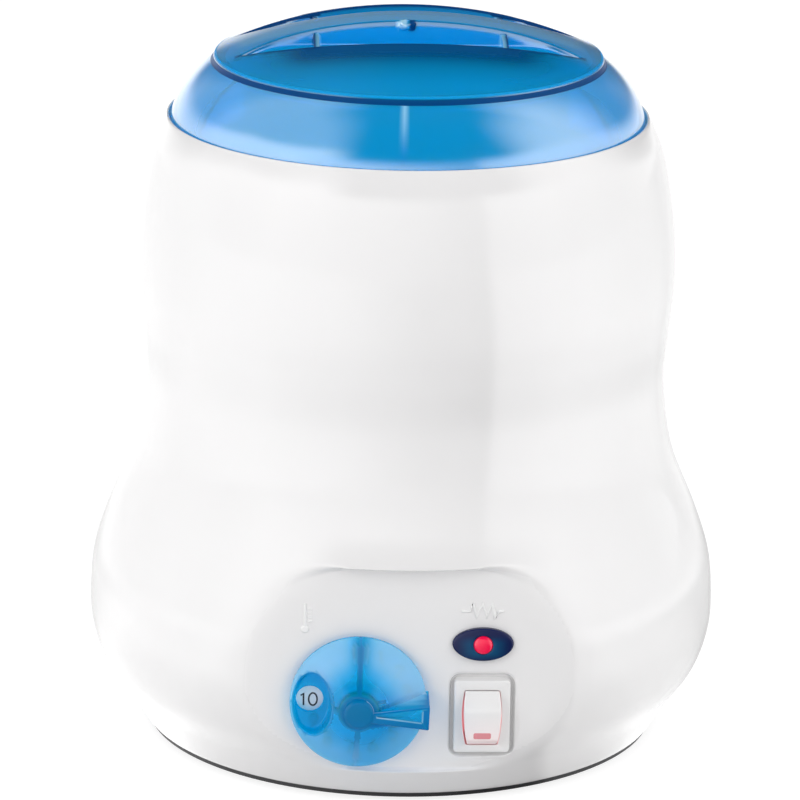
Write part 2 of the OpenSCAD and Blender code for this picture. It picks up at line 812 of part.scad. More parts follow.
// Dial: a hollow shallow cone with a number window and a wedge grip
skin = 1.5;
rim_t = 1.4;
crown_r = 4.6;
crown_t = knob_h - 1.2;
socket_r = 5.2;
socket_deep = 8;
window_r = 3.7;
window_at = [-13.2, 0.5];
well_at = 12.3;
well_half = 8.5;
well_squash = 0.59;
function cone_t(r) = rim_t + (crown_t - rim_t) * pow((knob_r - r) / (knob_r - crown_r), 0.85);
module cone(thinner) {
    rotate_extrude() polygon(concat(
        [[0, -1], [knob_r - thinner, -1]],
        [for (i = [0 : 8]) let (r = mix(knob_r, crown_r, i / 8))
            [max(r - thinner, 0), max(cone_t(r) - thinner * 1.1, 0.2)]],
        [[0, crown_t - thinner * 1.1]]));
}

module well(grow) {
    translate([-well_at, 0, 0]) linear_extrude(20)
        scale([(well_half * well_squash + grow) / well_half, (well_half + grow) / well_half])
        circle(r = well_half);
}

grip_long = knob_r + 0.5;
grip_draft = 6;
module grip_outline(wall_t) {
    a = wall_t;
    polygon([[2 + 2 * a, -2.3 + a], [grip_long - a, -3.9 + a], [grip_long - a, 3.6 - a],
        [2 + 2 * a, 0.9 - a * 0.6]]);
}

module grip(wall_t, low, high) {
    difference() {
        translate([0, 0, low]) linear_extrude(high - low) grip_outline(wall_t);
        // Sloping upper flank
        translate([2, 0.9 - wall_t, rim_t]) rotate([0, 0, 9.3]) rotate([grip_draft, 0, 0])
            translate([-5, 0, -20]) cube([40, 10, 60]);
    }
}

module dial_knob() {
    color(blue) facing(-dial_x, dial_z, knob_y) rotate([0, 0, -knob_turn]) difference() {
        union() {
            difference() {
                cone(0);
                cone(skin);
                translate([0, 0, -2]) cylinder(r = 30, h = 2);
            }
            intersection() {
                difference() {
                    cone(0);
                    translate([0, 0, -2]) cylinder(r = 30, h = 2);
                }
                union() {
                    cylinder(r = socket_r, h = 20);
                    well(1.2);
                    translate([-0.6, -knob_r + 1, 0.6]) cube([1.2, 2 * knob_r - 2, 20]);
                    translate([-8, -0.6, 0.6]) cube([8, 1.2, 20]);
                    for (v = [-1, 1]) translate([4, v * 2.2 - 0.5, 0.6]) cube([3, 1, 20]);
                    // Short ribs beside the upper one
                    for (u = [-1, 1]) translate([u * 1.6 - 0.5, 12.8, 0.6]) cube([1, 4, 20]);
                }
            }
            grip(0, 0.6, knob_h);
            cylinder(r = 4, h = knob_h);
            translate([0, 0, knob_h]) cylinder(r1 = 4, r2 = 3.2, h = 0.5);
        }
        difference() {
            well(0);
            cylinder(r = 60, h = 1.2);
        }
        translate([window_at[0], window_at[1], -1]) cylinder(r = window_r, h = 5);
        difference() {
            translate([0, 0, -1]) cylinder(r = shaft_r, h = 1 + socket_deep);
            translate([-5, shaft_flat, -2]) cube([10, 10, 2 + socket_deep + 1]);
        }
        difference() {
            grip(1.6, -1, knob_h - 1.4);
            cylinder(r = socket_r, h = 20);
        }
    }
}

module dial_shaft() {
    color(steel) facing(-dial_x, dial_z, knob_y) rotate([0, 0, -knob_turn]) difference() {
        translate([0, 0, -17]) cylinder(r = shaft_r, h = 17 + socket_deep);
        translate([-5, shaft_flat, 0]) cube([10, 10, socket_deep + 1]);
    }
}

// Spring ring that grips the socket onto the shaft
module knob_spring() {
    color(steel) facing(-dial_x, dial_z, knob_y) rotate([0, 0, -knob_turn])
        translate([0, 0, -0.9]) ring(socket_r, shaft_r, 0.9);
}

// Lid: domed top with two finger wells, flank, step and inner ribs
lid_low = deck_z;
flank_low = body_top;
flank_top = [54.2, 189.8];
step_top = [dome_r, 191.7];
flank_bow = 27;
dome_top = step_top[1] + dome_rise;
dome_ball = cap_r(dome_r, dome_rise);
dome_centre = dome_top - dome_ball;
function dome_z(r, d) = dome_centre + sqrt(pow(dome_ball - d, 2) - r * r);
module lid_outside(d, low) {
    flank = bow([lid_r - d, flank_low], flank_top - [d * 0.75, d * 0.75], flank_bow - d, 8);
    dome = [for (i = [0 : 8]) let (r = (step_top[0] - d * 0.8) * (1 - i / 8)) [r, dome_z(r, d)]];
    rotate_extrude() polygon(concat([[0, low], [lid_r - d, low]], flank, dome));
}

// Outline of a finger well, seen from above: a long crescent with pointed ends
well_tip = [46.3, 13];
well_front = 25;
well_floor = 195;
front_bow = cap_r(well_tip[0], well_front - well_tip[1]);
module finger_outline(grow) {
    tip = well_tip[0] + grow * 1.6;
    rear = [for (i = [-10 : 10]) let (x = tip * i / 10)
        [x, -(bar_half - grow) - (well_tip[1] - bar_half + grow) * pow(abs(i / 10), 5)]];
    front = [for (i = [9 : -1 : -9]) let (x = tip * i / 10, r = front_bow + grow)
        [x, front_bow - well_front - sqrt(r * r - x * x)]];
    polygon(concat(rear, front));
}

// All that lies under the wells' floor, which follows the dome towards their tips
least_well = 2.2;
module under_floor(d) {
    intersection() {
        translate([-60, -60, 150]) cube([120, 120, well_floor - d - 150]);
        translate([0, 0, dome_centre]) sphere(r = dome_ball - least_well - d);
    }
}

module finger_well(grow, d) {
    difference() {
        for (turn = [0, 180]) rotate([0, 0, turn])
            translate([0, 0, 180]) linear_extrude(30) finger_outline(grow);
        under_floor(d);
    }
}

rib_turn = -3;
rib_t = 1.6;
rib_x = 25.6;
stub_r = 2.6;
stub_t = 1.6;
stub_z = 200;
module lid() {
    color(blue) {
        difference() {
            union() {
                difference() {
                    lid_outside(0, lid_low);
                    lid_outside(lid_wall, lid_low - 1);
                }
                intersection() {
                    lid_outside(0, lid_low);
                    finger_well(lid_wall, lid_wall);
                }
                // Six ribs inside the flank
                intersection() {
                    difference() {
                        lid_outside(0, lid_low + 3);
                        translate([0, 0, lid_low]) cylinder(r1 = 62, r2 = 49.5, h = 20);
                    }
                    for (a = [0 : 60 : 300]) rotate([0, 0, a + rib_turn])
                        translate([-rib_t / 2, -lid_r, lid_low]) cube([rib_t, 20, 22]);
                }
            }
            difference() {
                finger_well(0, 0);
                // Two webs stand in each well
                intersection() {
                    for (x = [-rib_x, rib_x]) translate([x - rib_t / 2, -40, 180])
                        cube([rib_t, 80, 30]);
                    translate([0, 0, dome_centre]) sphere(r = dome_ball - 1);
                }
                // Stub of the moulding gate on the bar's front wall
                translate([0, -bar_half, stub_z]) rotate([90, 0, 0])
                    cylinder(r = stub_r, h = stub_t, $fn = 32);
            }
        }
    }
}

body_shell();
base_plate();
rubber_feet();
base_screws();
heating_chamber();
chamber_gasket();
chamber_spacers();
spacer_screws();
band_heater();
heater_clamp_screw();
insulation_sleeve();
thermostat_body();
thermostat_bracket();
thermostat_screws();
capillary_tube();
sensor_bulb();
bulb_clip();
clip_nuts();
thermal_fuse();
fuse_clip();
switch_housing();
switch_terminals();
pilot_lens();
pilot_lamp();
lens_retainer();
terminal_block();
terminal_block_screws();
cord_bush();
cord_bush_nut();
live_wires();
neutral_wires();
earth_wire();
earth_tag();
earth_nut();
dial_knob();
dial_shaft();
knob_spring();
switch_rocker();
rocker_window();
lid();
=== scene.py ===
"""Looks of the wax warmer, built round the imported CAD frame."""
import json
import math

import bmesh
import bpy
from mathutils import Matrix, Vector
from mathutils.geometry import delaunay_2d_cdt


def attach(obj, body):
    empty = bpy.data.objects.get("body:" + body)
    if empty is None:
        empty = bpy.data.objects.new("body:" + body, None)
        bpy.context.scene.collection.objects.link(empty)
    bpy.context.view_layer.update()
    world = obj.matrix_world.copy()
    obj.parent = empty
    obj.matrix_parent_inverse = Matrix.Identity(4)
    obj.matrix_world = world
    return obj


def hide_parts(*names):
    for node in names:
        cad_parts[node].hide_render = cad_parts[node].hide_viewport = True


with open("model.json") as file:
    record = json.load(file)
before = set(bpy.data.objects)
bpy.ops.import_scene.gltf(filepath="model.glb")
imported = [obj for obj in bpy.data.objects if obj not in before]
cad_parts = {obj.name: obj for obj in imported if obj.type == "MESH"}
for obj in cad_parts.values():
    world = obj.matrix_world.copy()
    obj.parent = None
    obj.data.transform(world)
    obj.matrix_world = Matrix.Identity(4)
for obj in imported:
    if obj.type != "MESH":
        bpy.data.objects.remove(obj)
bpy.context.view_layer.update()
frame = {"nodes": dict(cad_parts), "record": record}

MM = 0.001

# Camera, as the photograph was taken: distances in metres, angles in degrees
CAMERA_DISTANCE = 1.3295
CAMERA_HEIGHT = 0.4877
CAMERA_TURN = -2.1
CAMERA_PITCH = 16.55
CAMERA_ROLL = 0.86
CAMERA_LENS = 223.07
CAMERA_SHIFT = -3.75 / 800

# Body, in millimetres: the same outline as the CAD shell
BULGE_R = 87.4
WAIST_R = 72.5
CHEST_R = 74.9
BASE_R = 71.9
BODY_TOP = 175.0
SHELL_LOW = 2.7
CREST_R = 65.8
DECK_Z = 172.0
DECK_T = 2.5
MOUTH_R = 56.5
WALL = 2.5
PANEL_Y = 75.0
PANEL_LOW = 11.0
PANEL_HIGH = 68.4
DIAL = (-13.9, 31.0)
SWITCH = (19.55, 26.4)
LAMP = (19.5, 47.0)


def mix(a, b, t):
    return a + (b - a) * t


def smoothstep(t):
    t = min(max(t, 0.0), 1.0)
    return t * t * (3 - 2 * t)


def smooth_max(a, b, k):
    """The larger of two numbers, blended where they are less than k apart."""
    h = max(k - abs(a - b), 0.0) / k
    return max(a, b) + h * h * k / 4


def catmull(keys, steps):
    """Points of a smooth curve through keys, which are tuples of one length."""
    points = []
    last = len(keys) - 1
    for i in range(last):
        a, b, c, d = (keys[min(max(i + j, 0), last)] for j in (-1, 0, 1, 2))
        for s in range(steps):
            t = s / steps
            points.append(tuple(
                0.5 * (2 * q + (r - p) * t + (2 * p - 5 * q + 4 * r - u) * t * t
                       + (3 * q - p - 3 * r + u) * t ** 3)
                for p, q, r, u in zip(a, b, c, d)))
    points.append(tuple(keys[-1]))
    return points


def spaced(low, high, step):
    """Even steps from low to high, about a step apart."""
    n = max(1, round((high - low) / step))
    return [low + (high - low) * i / n for i in range(n + 1)]


def rounded(points, radii, n=5):
    """An open line with its corners rounded: a quadratic curve cuts off radii[i] at point i."""
    out = [points[0]]
    for i in range(1, len(points) - 1):
        cut = radii[i]
        p, q, r = points[i - 1], points[i], points[i + 1]
        if cut == 0:
            out.append(q)
            continue
        a = Vector(q) + (Vector(p) - Vector(q)).normalized() * cut
        b = Vector(q) + (Vector(r) - Vector(q)).normalized() * cut
        for k in range(n + 1):
            t = k / n
            c = a * (1 - t) ** 2 + Vector(q) * (2 * t * (1 - t)) + b * t * t
            out.append(tuple(c))
    out.append(points[-1])
    return out


def quarter(first=0, n=4):
    """Steps of a quarter round, each as how much is left of one side and how much of the other is gone."""
    turns = [math.radians(90 * i / n) for i in range(first, n + 1)]
    return [(1 - math.sin(a), 1 - math.cos(a)) for a in turns]


def radius_at(line, z):
    """Radius of a profile line at a height."""
    for (r0, z0), (r1, z1) in zip(line, line[1:]):
        if z <= z1:
            return mix(r0, r1, max(z - z0, 0) / (z1 - z0))
    return line[-1][0]


def loop_edges(start, count):
    """Edges of a closed loop of points, numbered from start."""
    return [(start + i, start + (i + 1) % count) for i in range(count)]


def triangulated(points, edges):
    """Points and triangles of a plane mesh that keeps the edges."""
    found, _, triangles, *_ = delaunay_2d_cdt([Vector(p) for p in points], edges, [], 1, 1e-6, True)
    return found, triangles


class Surface:
    """Vertices and faces of a mesh as it grows."""

    def __init__(self):
        self.vertices = []
        self.faces = []

    def row(self, points):
        start = len(self.vertices)
        self.vertices += points
        return list(range(start, start + len(points)))

    def strip(self, a, b):
        """Quads between two closed rows of one length."""
        for i in range(len(a)):
            j = (i + 1) % len(a)
            self.faces.append((a[i], a[j], b[j], b[i]))

    def rows(self, rows):
        made = [self.row(points) for points in rows]
        for a, b in zip(made, made[1:]):
            self.strip(a, b)
        return made

    def fill(self, loops, height, step, clearance):
        """Triangles between the loops, laid on height(x, y), where clearance(x, y) is above 0."""
        points, edges = [], []
        for loop in loops:
            edges += loop_edges(len(points), len(loop))
            points += [(x, y) for x, y, *_ in loop]
        reach = max(p[0] for p in points)
        for x in spaced(-reach, reach, step):
            for y in spaced(-reach, reach, step):
                if clearance(x, y) > step / 3:
                    points.append((x, y))
        found, triangles = triangulated(points, edges)
        row = self.row([(x, y, height(x, y)) for x, y in found])
        for t in triangles:
            if clearance(sum(found[i][0] for i in t) / 3, sum(found[i][1] for i in t) / 3) > 0:
                self.faces.append(tuple(row[i] for i in t))

    def take(self, other):
        """Adds another surface's vertices and faces."""
        row = self.row(other.vertices)
        self.faces += [tuple(row[i] for i in f) for f in other.faces]

    def points(self, row):
        return [self.vertices[i] for i in row]

    def cap(self, made):
        """Faces over the first and the last of a stack of rows."""
        self.faces += [tuple(made[0]), tuple(reversed(made[-1]))]

    def fan(self, row, point):
        """Triangles from a closed row to a point."""
        tip = self.row([point])[0]
        for i in range(len(row)):
            self.faces.append((row[i], row[(i + 1) % len(row)], tip))

    def moved(self, to):
        """The same surface with every vertex taken elsewhere."""
        self.vertices = [to(*v) for v in self.vertices]
        return self


def revolve_rows(profile, turns):
    """Rings of vertices round the axis, one for each radius and height of the profile."""
    return [[(r * math.sin(2 * math.pi * k / turns), -r * math.cos(2 * math.pi * k / turns), z)
             for k in range(turns)] for r, z in profile]


def lathe(profile, turns=96):
    """Closed surface turned round the Z axis from a line that starts and ends on the axis."""
    surface = Surface()
    made = surface.rows(revolve_rows(profile[1:-1], turns))
    surface.fan(made[0], (0, 0, profile[0][1]))
    surface.fan(made[-1], (0, 0, profile[-1][1]))
    return surface


def column(loops):
    """Closed surface from a stack of convex loops."""
    surface = Surface()
    made = surface.rows(loops)
    for row in (made[0], made[-1]):
        points = surface.points(row)
        surface.fan(row, tuple(sum(c) / len(points) for c in zip(*points)))
    return surface


def stroke(surface, points, section, closed=False):
    """Raised line along points of a plane. The section is a list of offsets and heights."""
    n = len(points)
    rows = []
    for i in range(n):
        before = Vector(points[i - 1] if i > 0 or closed else points[i])
        after = Vector(points[(i + 1) % n] if i < n - 1 or closed else points[i])
        here = Vector(points[i])
        way = (after - before).normalized()
        bend = (after - here).normalized().dot(way) if (after - here).length > 0 else 1
        side = Vector((-way.y, way.x)) / max(bend, 0.5)
        rows.append([(here.x + side.x * u, here.y + side.y * u, w) for u, w in section])
    made = surface.rows(rows)
    if closed:
        surface.strip(made[-1], made[0])
    else:
        surface.cap(made)


def facing(x, z, depth, turn=0.0):
    """Map from a plan lying on XY to a place on the panel, turned by an angle in degrees."""
    c, s = math.cos(math.radians(turn)), math.sin(math.radians(turn))
    return lambda u, v, w: (x + u * c - v * s, -depth - w, z + u * s + v * c)


def cut_away(piece, surface):
    apply_boolean(piece, make("cutter", surface, "base"), "DIFFERENCE")


def join(piece, surface):
    apply_boolean(piece, make("joined", surface, "base"), "UNION")


def ellipse(cx, cy, a, b, n=96, start=0.0, end=360.0):
    """Points round an ellipse, the last one left out where it is whole."""
    count = n if abs(end - start) >= 360 else n + 1
    return [(cx + a * math.cos(math.radians(mix(start, end, i / n))),
             cy + b * math.sin(math.radians(mix(start, end, i / n)))) for i in range(count)]


def at_height(loop, height):
    """Plan loop at a height, or on height(x, y)."""
    if callable(height):
        return [(x, y, height(x, y)) for x, y in loop]
    return [(x, y, height) for x, y in loop]


def new_object(name, data):
    item = bpy.data.objects.new(name, data)
    bpy.context.scene.collection.objects.link(item)
    return item


def make(name, surface, body, smooth_angle=35):
    """A mesh piece from a surface in millimetres, riding on a body."""
    mesh = bpy.data.meshes.new(name)
    mesh.from_pydata([tuple(MM * c for c in v) for v in surface.vertices], [], surface.faces)
    mesh.update()
    piece = new_object(name, mesh)
    finish_mesh(piece, smooth_angle)
    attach(piece, body)
    return piece


def finish_mesh(piece, smooth_angle):
    """Merges doubled vertices, turns the faces outwards and shades smooth up to an angle in degrees."""
    bm = bmesh.new()
    bm.from_mesh(piece.data)
    bmesh.ops.remove_doubles(bm, verts=bm.verts, dist=1e-7)
    bmesh.ops.recalc_face_normals(bm, faces=bm.faces)
    bm.to_mesh(piece.data)
    bm.free()
    piece.data.shade_smooth()
    piece.data.set_sharp_from_angle(angle=math.radians(smooth_angle))


def apply_boolean(piece, tool, operation):
    modifier = piece.modifiers.new("cut", "BOOLEAN")
    modifier.operation = operation
    modifier.solver = "MANIFOLD"
    modifier.object = tool
    graph = bpy.context.evaluated_depsgraph_get()
    mesh = bpy.data.meshes.new_from_object(piece.evaluated_get(graph))
    piece.modifiers.clear()
    piece.data = mesh
    bpy.data.objects.remove(tool)


def mark(piece, name, share):
    """Stores a share from 0 to 1 at every vertex, from its place in millimetres."""
    values = piece.data.attributes.new(name, "FLOAT", "POINT")
    for i, vertex in enumerate(piece.data.vertices):
        values.data[i].value = share(*(vertex.co / MM))


def paint(piece, finish):
    """Gives a piece its material, which is called by its name in FINISHES."""
    piece.data.materials.clear()
    piece.data.materials.append(FINISHES[finish])


# Shader nodes

class Field:
    """A node's output, which adds, subtracts and multiplies like a number."""

    def __init__(self, tree, socket):
        self.tree, self.socket = tree, socket

    def __add__(self, other):
        return operate("ADD", self, other)

    def __sub__(self, other):
        return operate("SUBTRACT", self, other)

    def __rsub__(self, other):
        return operate("SUBTRACT", other, self)

    def __mul__(self, other):
        return operate("MULTIPLY", self, other)

    def __abs__(self):
        return operate("ABSOLUTE", self)


def feed(node, inputs):
    """Sets a node's inputs, by name or place, to numbers, colours or fields."""
    for name, value in inputs.items():
        socket = node.inputs[name]
        if isinstance(value, Field):
            value.tree.links.new(value.socket, socket)
        else:
            socket.default_value = (*value, 1) if socket.type == "RGBA" else value


def new_node(tree, kind, inputs=None, output=0, **settings):
    """Field from a new node."""
    node = tree.nodes.new("ShaderNode" + kind)
    for name, value in settings.items():
        setattr(node, name, value)
    feed(node, inputs or {})
    return Field(tree, node.outputs[output])


def operate(operation, *values):
    """Sum, product or the like of fields and numbers."""
    tree = next(value.tree for value in values if isinstance(value, Field))
    return new_node(tree, "Math", dict(enumerate(values)), operation=operation)


def larger(a, b):
    return operate("MAXIMUM", a, b)


def ranged(value, low, high, to_low, to_high, kind="SMOOTHSTEP"):
    """Value mapped from one range to another, smoothly or LINEAR."""
    return new_node(value.tree, "MapRange", {"Value": value, "From Min": low, "From Max": high,
                                             "To Min": to_low, "To Max": to_high},
                    "Result", interpolation_type=kind)


def split(place):
    """The x, y and z of a place."""
    node = place.tree.nodes.new("ShaderNodeSeparateXYZ")
    feed(node, {0: place})
    return [Field(place.tree, output) for output in node.outputs]


def object_place(tree):
    """Place in the object's own coordinates."""
    return new_node(tree, "TexCoord", output="Object")


def ray_kind(tree, name):
    return new_node(tree, "LightPath", output=name)


def attribute(tree, name):
    return new_node(tree, "Attribute", output="Fac", attribute_name=name)


def choose(share, off, on):
    """Shader off, or on where share is one."""
    return new_node(share.tree, "MixShader", {0: share, 1: off, 2: on})


def glow(tree, kind, strength):
    """White light of a strength that is a number or a field."""
    return new_node(tree, kind, {"Color": (1, 1, 1), "Strength": strength})


def show(output, off, straight, mirrored):
    """Feeds an output with shaders for what is seen straight, for what is mirrored and for all else."""
    tree = off.tree
    seen = larger(ray_kind(tree, "Is Camera Ray"), ray_kind(tree, "Is Transmission Ray"))
    direct = choose(seen, off, straight)
    feed(output, {"Surface": choose(ray_kind(tree, "Is Glossy Ray"), direct, mirrored)})


def noise_field(tree, scale, detail=3.0, stretch=(1, 1, 1)):
    """Noise over the object's own coordinates, drawn out where stretch is small."""
    place = new_node(tree, "Mapping", {"Vector": object_place(tree), "Scale": stretch})
    return new_node(tree, "TexNoise", {"Vector": place, "Scale": scale, "Detail": detail}, "Fac")


def bump(height, strength, distance):
    return new_node(height.tree, "Bump", {"Height": height, "Strength": strength, "Distance": distance})


def blend(share, a, b):
    """Colour a, or b where share is one."""
    return new_node(share.tree, "Mix", {"A": a, "B": b, "Factor": share}, "Result", data_type="RGBA")


def times(colour, share):
    return tuple(min(c * share, 1) for c in colour)


# Materials

FINISHES = {}


def new_material(name):
    """A material, kept in FINISHES, as its tree and its main shader."""
    material = bpy.data.materials.new(name)
    material.use_nodes = True
    FINISHES[name] = material
    return material.node_tree, material.node_tree.nodes["Principled BSDF"]


def plastic(name, colour, roughness, coat=0.0, scale=900.0, strength=0.05, mottle=0.03):
    """Moulded plastic: a fine surface texture, and a colour that is not quite even."""
    tree, shader = new_material(name)
    feed(shader, {
        "Base Color": blend(noise_field(tree, 35, 2), times(colour, 1 - mottle), colour),
        "Roughness": ranged(noise_field(tree, scale / 2, 2), 0.3, 0.7, roughness * 0.9, roughness * 1.1),
        "Coat Weight": coat,
        "Coat Roughness": 0.04,
        "Normal": bump(noise_field(tree, scale), strength, 0.0002)})


def lit_white(name, colour, light):
    """White plastic with a painted pink glow where its mark says, standing in for a small lamp inside that
    shines through.
    """
    plastic(name, colour, 0.35, coat=0.25, scale=1600, strength=0.04)
    tree = FINISHES[name].node_tree
    # Painted glow: emission laid on by the mark, with no lamp there
    feed(tree.nodes["Principled BSDF"], {
        "Emission Color": light,
        "Emission Strength": attribute(tree, "lit") * 0.3})


def shell_white(name, low, high):
    """Glossy white moulding whose flat panel is matt, its colour between low and high."""
    tree, shader = new_material(name)
    panel = attribute(tree, "panel")
    texture = noise_field(tree, 2600, 2) * ranged(panel, 0, 1, 0.04, 1)
    feed(shader, {
        "Base Color": blend(noise_field(tree, 25, 2), low, high),
        "Roughness": ranged(panel, 0, 1, 0.12, 0.42),
        "Coat Weight": ranged(panel, 0, 1, 0.5, 0.05),
        "Coat Roughness": 0.04,
        "Normal": bump(texture, 0.18, 0.00008)})


def metal(name, colour, roughness, scale=700.0, stretch=(1, 1, 0.05), strength=0.08):
    """Metal with fine drawn or brushed lines."""
    tree, shader = new_material(name)
    lines = noise_field(tree, scale, 4, stretch)
    feed(shader, {
        "Base Color": blend(lines, times(colour, 0.88), colour),
        "Metallic": 1.0,
        "Roughness": ranged(lines, 0.3, 0.7, roughness * 0.75, roughness * 1.25),
        "Normal": bump(lines, strength, 0.0001)})


def spun_metal(name, colour, roughness):
    """Metal turned round the Z axis, with fine rings on it."""
    tree, shader = new_material(name)
    lines = new_node(tree, "TexWave", {"Vector": object_place(tree), "Scale": 320.0, "Distortion": 2.5,
                                       "Detail": 3.0}, "Fac", wave_type="RINGS", rings_direction="Z")
    feed(shader, {
        "Base Color": blend(lines, times(colour, 0.92), colour),
        "Metallic": 1.0,
        "Roughness": ranged(lines, 0, 1, roughness * 0.8, roughness * 1.2),
        "Normal": bump(lines, 0.12, 0.00005)})


def felt(name, colour):
    """Needled felt: tangled fibres with darker pits."""
    tree, shader = new_material(name)
    fibres = noise_field(tree, 900, 6, (1, 1, 0.3))
    both = fibres * ranged(noise_field(tree, 120, 3), 0.3, 0.7, 0.7, 1.2)
    feed(shader, {
        "Base Color": blend(ranged(both, 0.25, 0.6, 0, 1), times(colour, 0.72), colour),
        "Roughness": 0.95,
        "Normal": bump(both, 0.7, 0.0006)})


def tinted_lens(name, dark, lit):
    """Dark lens with a painted paler glow low down in its middle, standing in for a little light let
    through.
    """
    tree, shader = new_material(name)
    x, _, z = split(object_place(tree))
    side = abs(x - LAMP[0] * MM)
    down = abs(z - (LAMP[1] - 1) * MM)
    middle = ranged(side, 0.002, 0.0078, 1.0, 0.0) * ranged(down, 0.001, 0.004, 1.0, 0.0)
    painted_glow_patch = middle * ranged(noise_field(tree, 300, 2), 0.3, 0.7, 0.85, 1.0)
    feed(shader, {
        "Base Color": blend(painted_glow_patch, dark, lit),
        "IOR": 1.3,
        "Roughness": 0.12,
        "Normal": bump(noise_field(tree, 600), 0.01, 0.0001)})


def phenolic(name, colour):
    """Dark moulding compound with paler flow marks."""
    tree, shader = new_material(name)
    flow = noise_field(tree, 90, 5, (1, 1, 0.4))
    feed(shader, {
        "Base Color": blend(ranged(flow, 0.5, 0.75, 0, 1), colour, times(colour, 1.7)),
        "Roughness": 0.45,
        "Normal": bump(noise_field(tree, 800), 0.1, 0.0002)})


def lit_plastic(name, colour, level, roughness, coat):
    """Plastic that a small lamp behind it lights up."""
    tree, shader = new_material(name)
    feed(shader, {
        "Base Color": blend(noise_field(tree, 400, 2), times(colour, 0.85), colour),
        "Roughness": roughness,
        "Coat Weight": coat,
        "Emission Color": colour,
        "Emission Strength": level,
        "Normal": bump(noise_field(tree, 1500), 0.03, 0.0001)})


def clear_plastic(name, colour, painted_shade_colour, painted_highlight_colour, clear, passed, density, shadow,
                  roughness, frost, coat_roughness, gloss):
    """Tinted translucent plastic, darker where it is thick, glossy outside and frosted inside, with painted
    shade and painted highlights from its marks.
    """
    tree, shader = new_material(name)
    inside, edge, painted_highlight = (attribute(tree, mark) for mark in ("inside", "edge", "painted_highlight"))
    matt = larger(inside, ranged(edge, 0.85, 1.0, 0.0, 1.0))
    feed(shader, {
        # Painted shade: the edge mark darkens the colour and lowers the transmission. Painted highlights
        # and sheen: the third mark pales the colour and lowers the transmission too.
        "Base Color": blend(painted_highlight, blend(edge, colour, painted_shade_colour), painted_highlight_colour),
        "Transmission Weight": ranged(edge, 0, 1, clear, clear * 0.3) - painted_highlight * 0.4,
        "IOR": 1.25,
        "Specular IOR Level": 0.2,
        "Roughness": ranged(matt, 0, 1, roughness, frost),
        "Coat Weight": ranged(matt, 0, 1, 1, 0),
        "Coat IOR": gloss,
        "Coat Roughness": coat_roughness,
        "Normal": bump(noise_field(tree, 900), 0.02, 0.0002)})
    # Lamps shine through the plastic
    through = new_node(tree, "BsdfTransparent", {"Color": shadow})
    surface = choose(ray_kind(tree, "Is Shadow Ray"), Field(tree, shader.outputs[0]), through)
    absorb = new_node(tree, "VolumeAbsorption", {"Color": passed, "Density": density})
    feed(tree.nodes["Material Output"], {"Surface": surface, "Volume": absorb})


# Body shell

# The side's radius, as a share of the way from one named radius to the next, and its heights
STATIONS = [(mix(low, high, share), z) for low, high, steps in (
    (BASE_R, BULGE_R, ((0, SHELL_LOW), (0.35, 11.5), (0.78, 21), (0.985, 31), (1, 41))),
    (WAIST_R, BULGE_R, ((0.926, 51), (0.658, 63), (0.242, 78), (0.067, 90), (0, 104))),
    (WAIST_R, CHEST_R, ((0.58, 118), (1, 131)))) for share, z in steps]
STATIONS += [(CHEST_R - 0.6, 145), (CHEST_R - 2.5, 158), (CHEST_R - 5.1, 168), (CREST_R + 0.6, BODY_TOP)]
SIDE = catmull(STATIONS, 24)


def side_radius(z):
    """Outer radius of the shell at a height."""
    return radius_at(SIDE, z)


# The mesh has upright columns: evenly spaced across the front, and by angle round the rear
FRONT_HALF = 50.0
COLUMN = 1.25
REAR_COLUMNS = 156
PANEL_BLEND = 3.5
# The panel's ledges: half of their straight part, their softness, and how they bend and fade past it
LEDGE_STRAIGHT = 17.0
LEDGE_SOFT = 0.55
LEDGE_FADE = 0.16
TOP_BEND = 0.012
FOOT_BEND = 0.006


def panel_share(x, z):
    """How much of the flat panel's cut there is at x, z: 1 inside, 0 past its ledges."""
    corner = max(abs(x) - LEDGE_STRAIGHT, 0.0)
    high = PANEL_HIGH - TOP_BEND * corner ** 2
    low = PANEL_LOW + FOOT_BEND * corner ** 2
    soft = LEDGE_SOFT + LEDGE_FADE * corner
    return smoothstep((high + soft - z) / (2 * soft)) * smoothstep((z - low + soft) / (2 * soft))


def front_y(x, z, radius, inward=0.0):
    """Depth of the front surface at x, with the panel cut into it."""
    round_y = -math.sqrt(radius * radius - x * x)
    cut_y = smooth_max(round_y, inward - PANEL_Y, PANEL_BLEND)
    return mix(round_y, cut_y, panel_share(x, z))


def body_row(radius, z, inward=0.0):
    """Ring of the shell: across its front from left to right, and round its rear."""
    columns = [-FRONT_HALF + i * COLUMN for i in range(round(2 * FRONT_HALF / COLUMN) + 1)]
    row = [(x, front_y(x, z, radius, inward), z) for x in columns]
    start = math.asin(FRONT_HALF / radius)
    for i in range(1, REAR_COLUMNS):
        a = start + (2 * math.pi - 2 * start) * i / REAR_COLUMNS
        row.append((radius * math.sin(a), -radius * math.cos(a), z))
    return row


# Recess round the switch: how wide, high, round at its corners and deep it is, and how soft its lip
# is at the top and its wall at the sides
RECESS_W = 17.4
RECESS_H = 23.2
RECESS_R = 3.0
RECESS_DEEP = 2.0
RECESS_LIP = 0.9
RECESS_WALL = 0.4
# The part of the front that is meshed anew round it
PATCH_X = (6.25, 32.5)
PATCH_Z = (11.9, 41.5)


def round_rect(w, h, r, n=10):
    points = []
    for cx, cy, a0 in ((1, 1, 0), (-1, 1, 90), (-1, -1, 180), (1, -1, 270)):
        for i in range(n + 1):
            a = math.radians(a0 + 90 * i / n)
            points.append((cx * (w / 2 - r) + r * math.cos(a), cy * (h / 2 - r) + r * math.sin(a)))
    return points


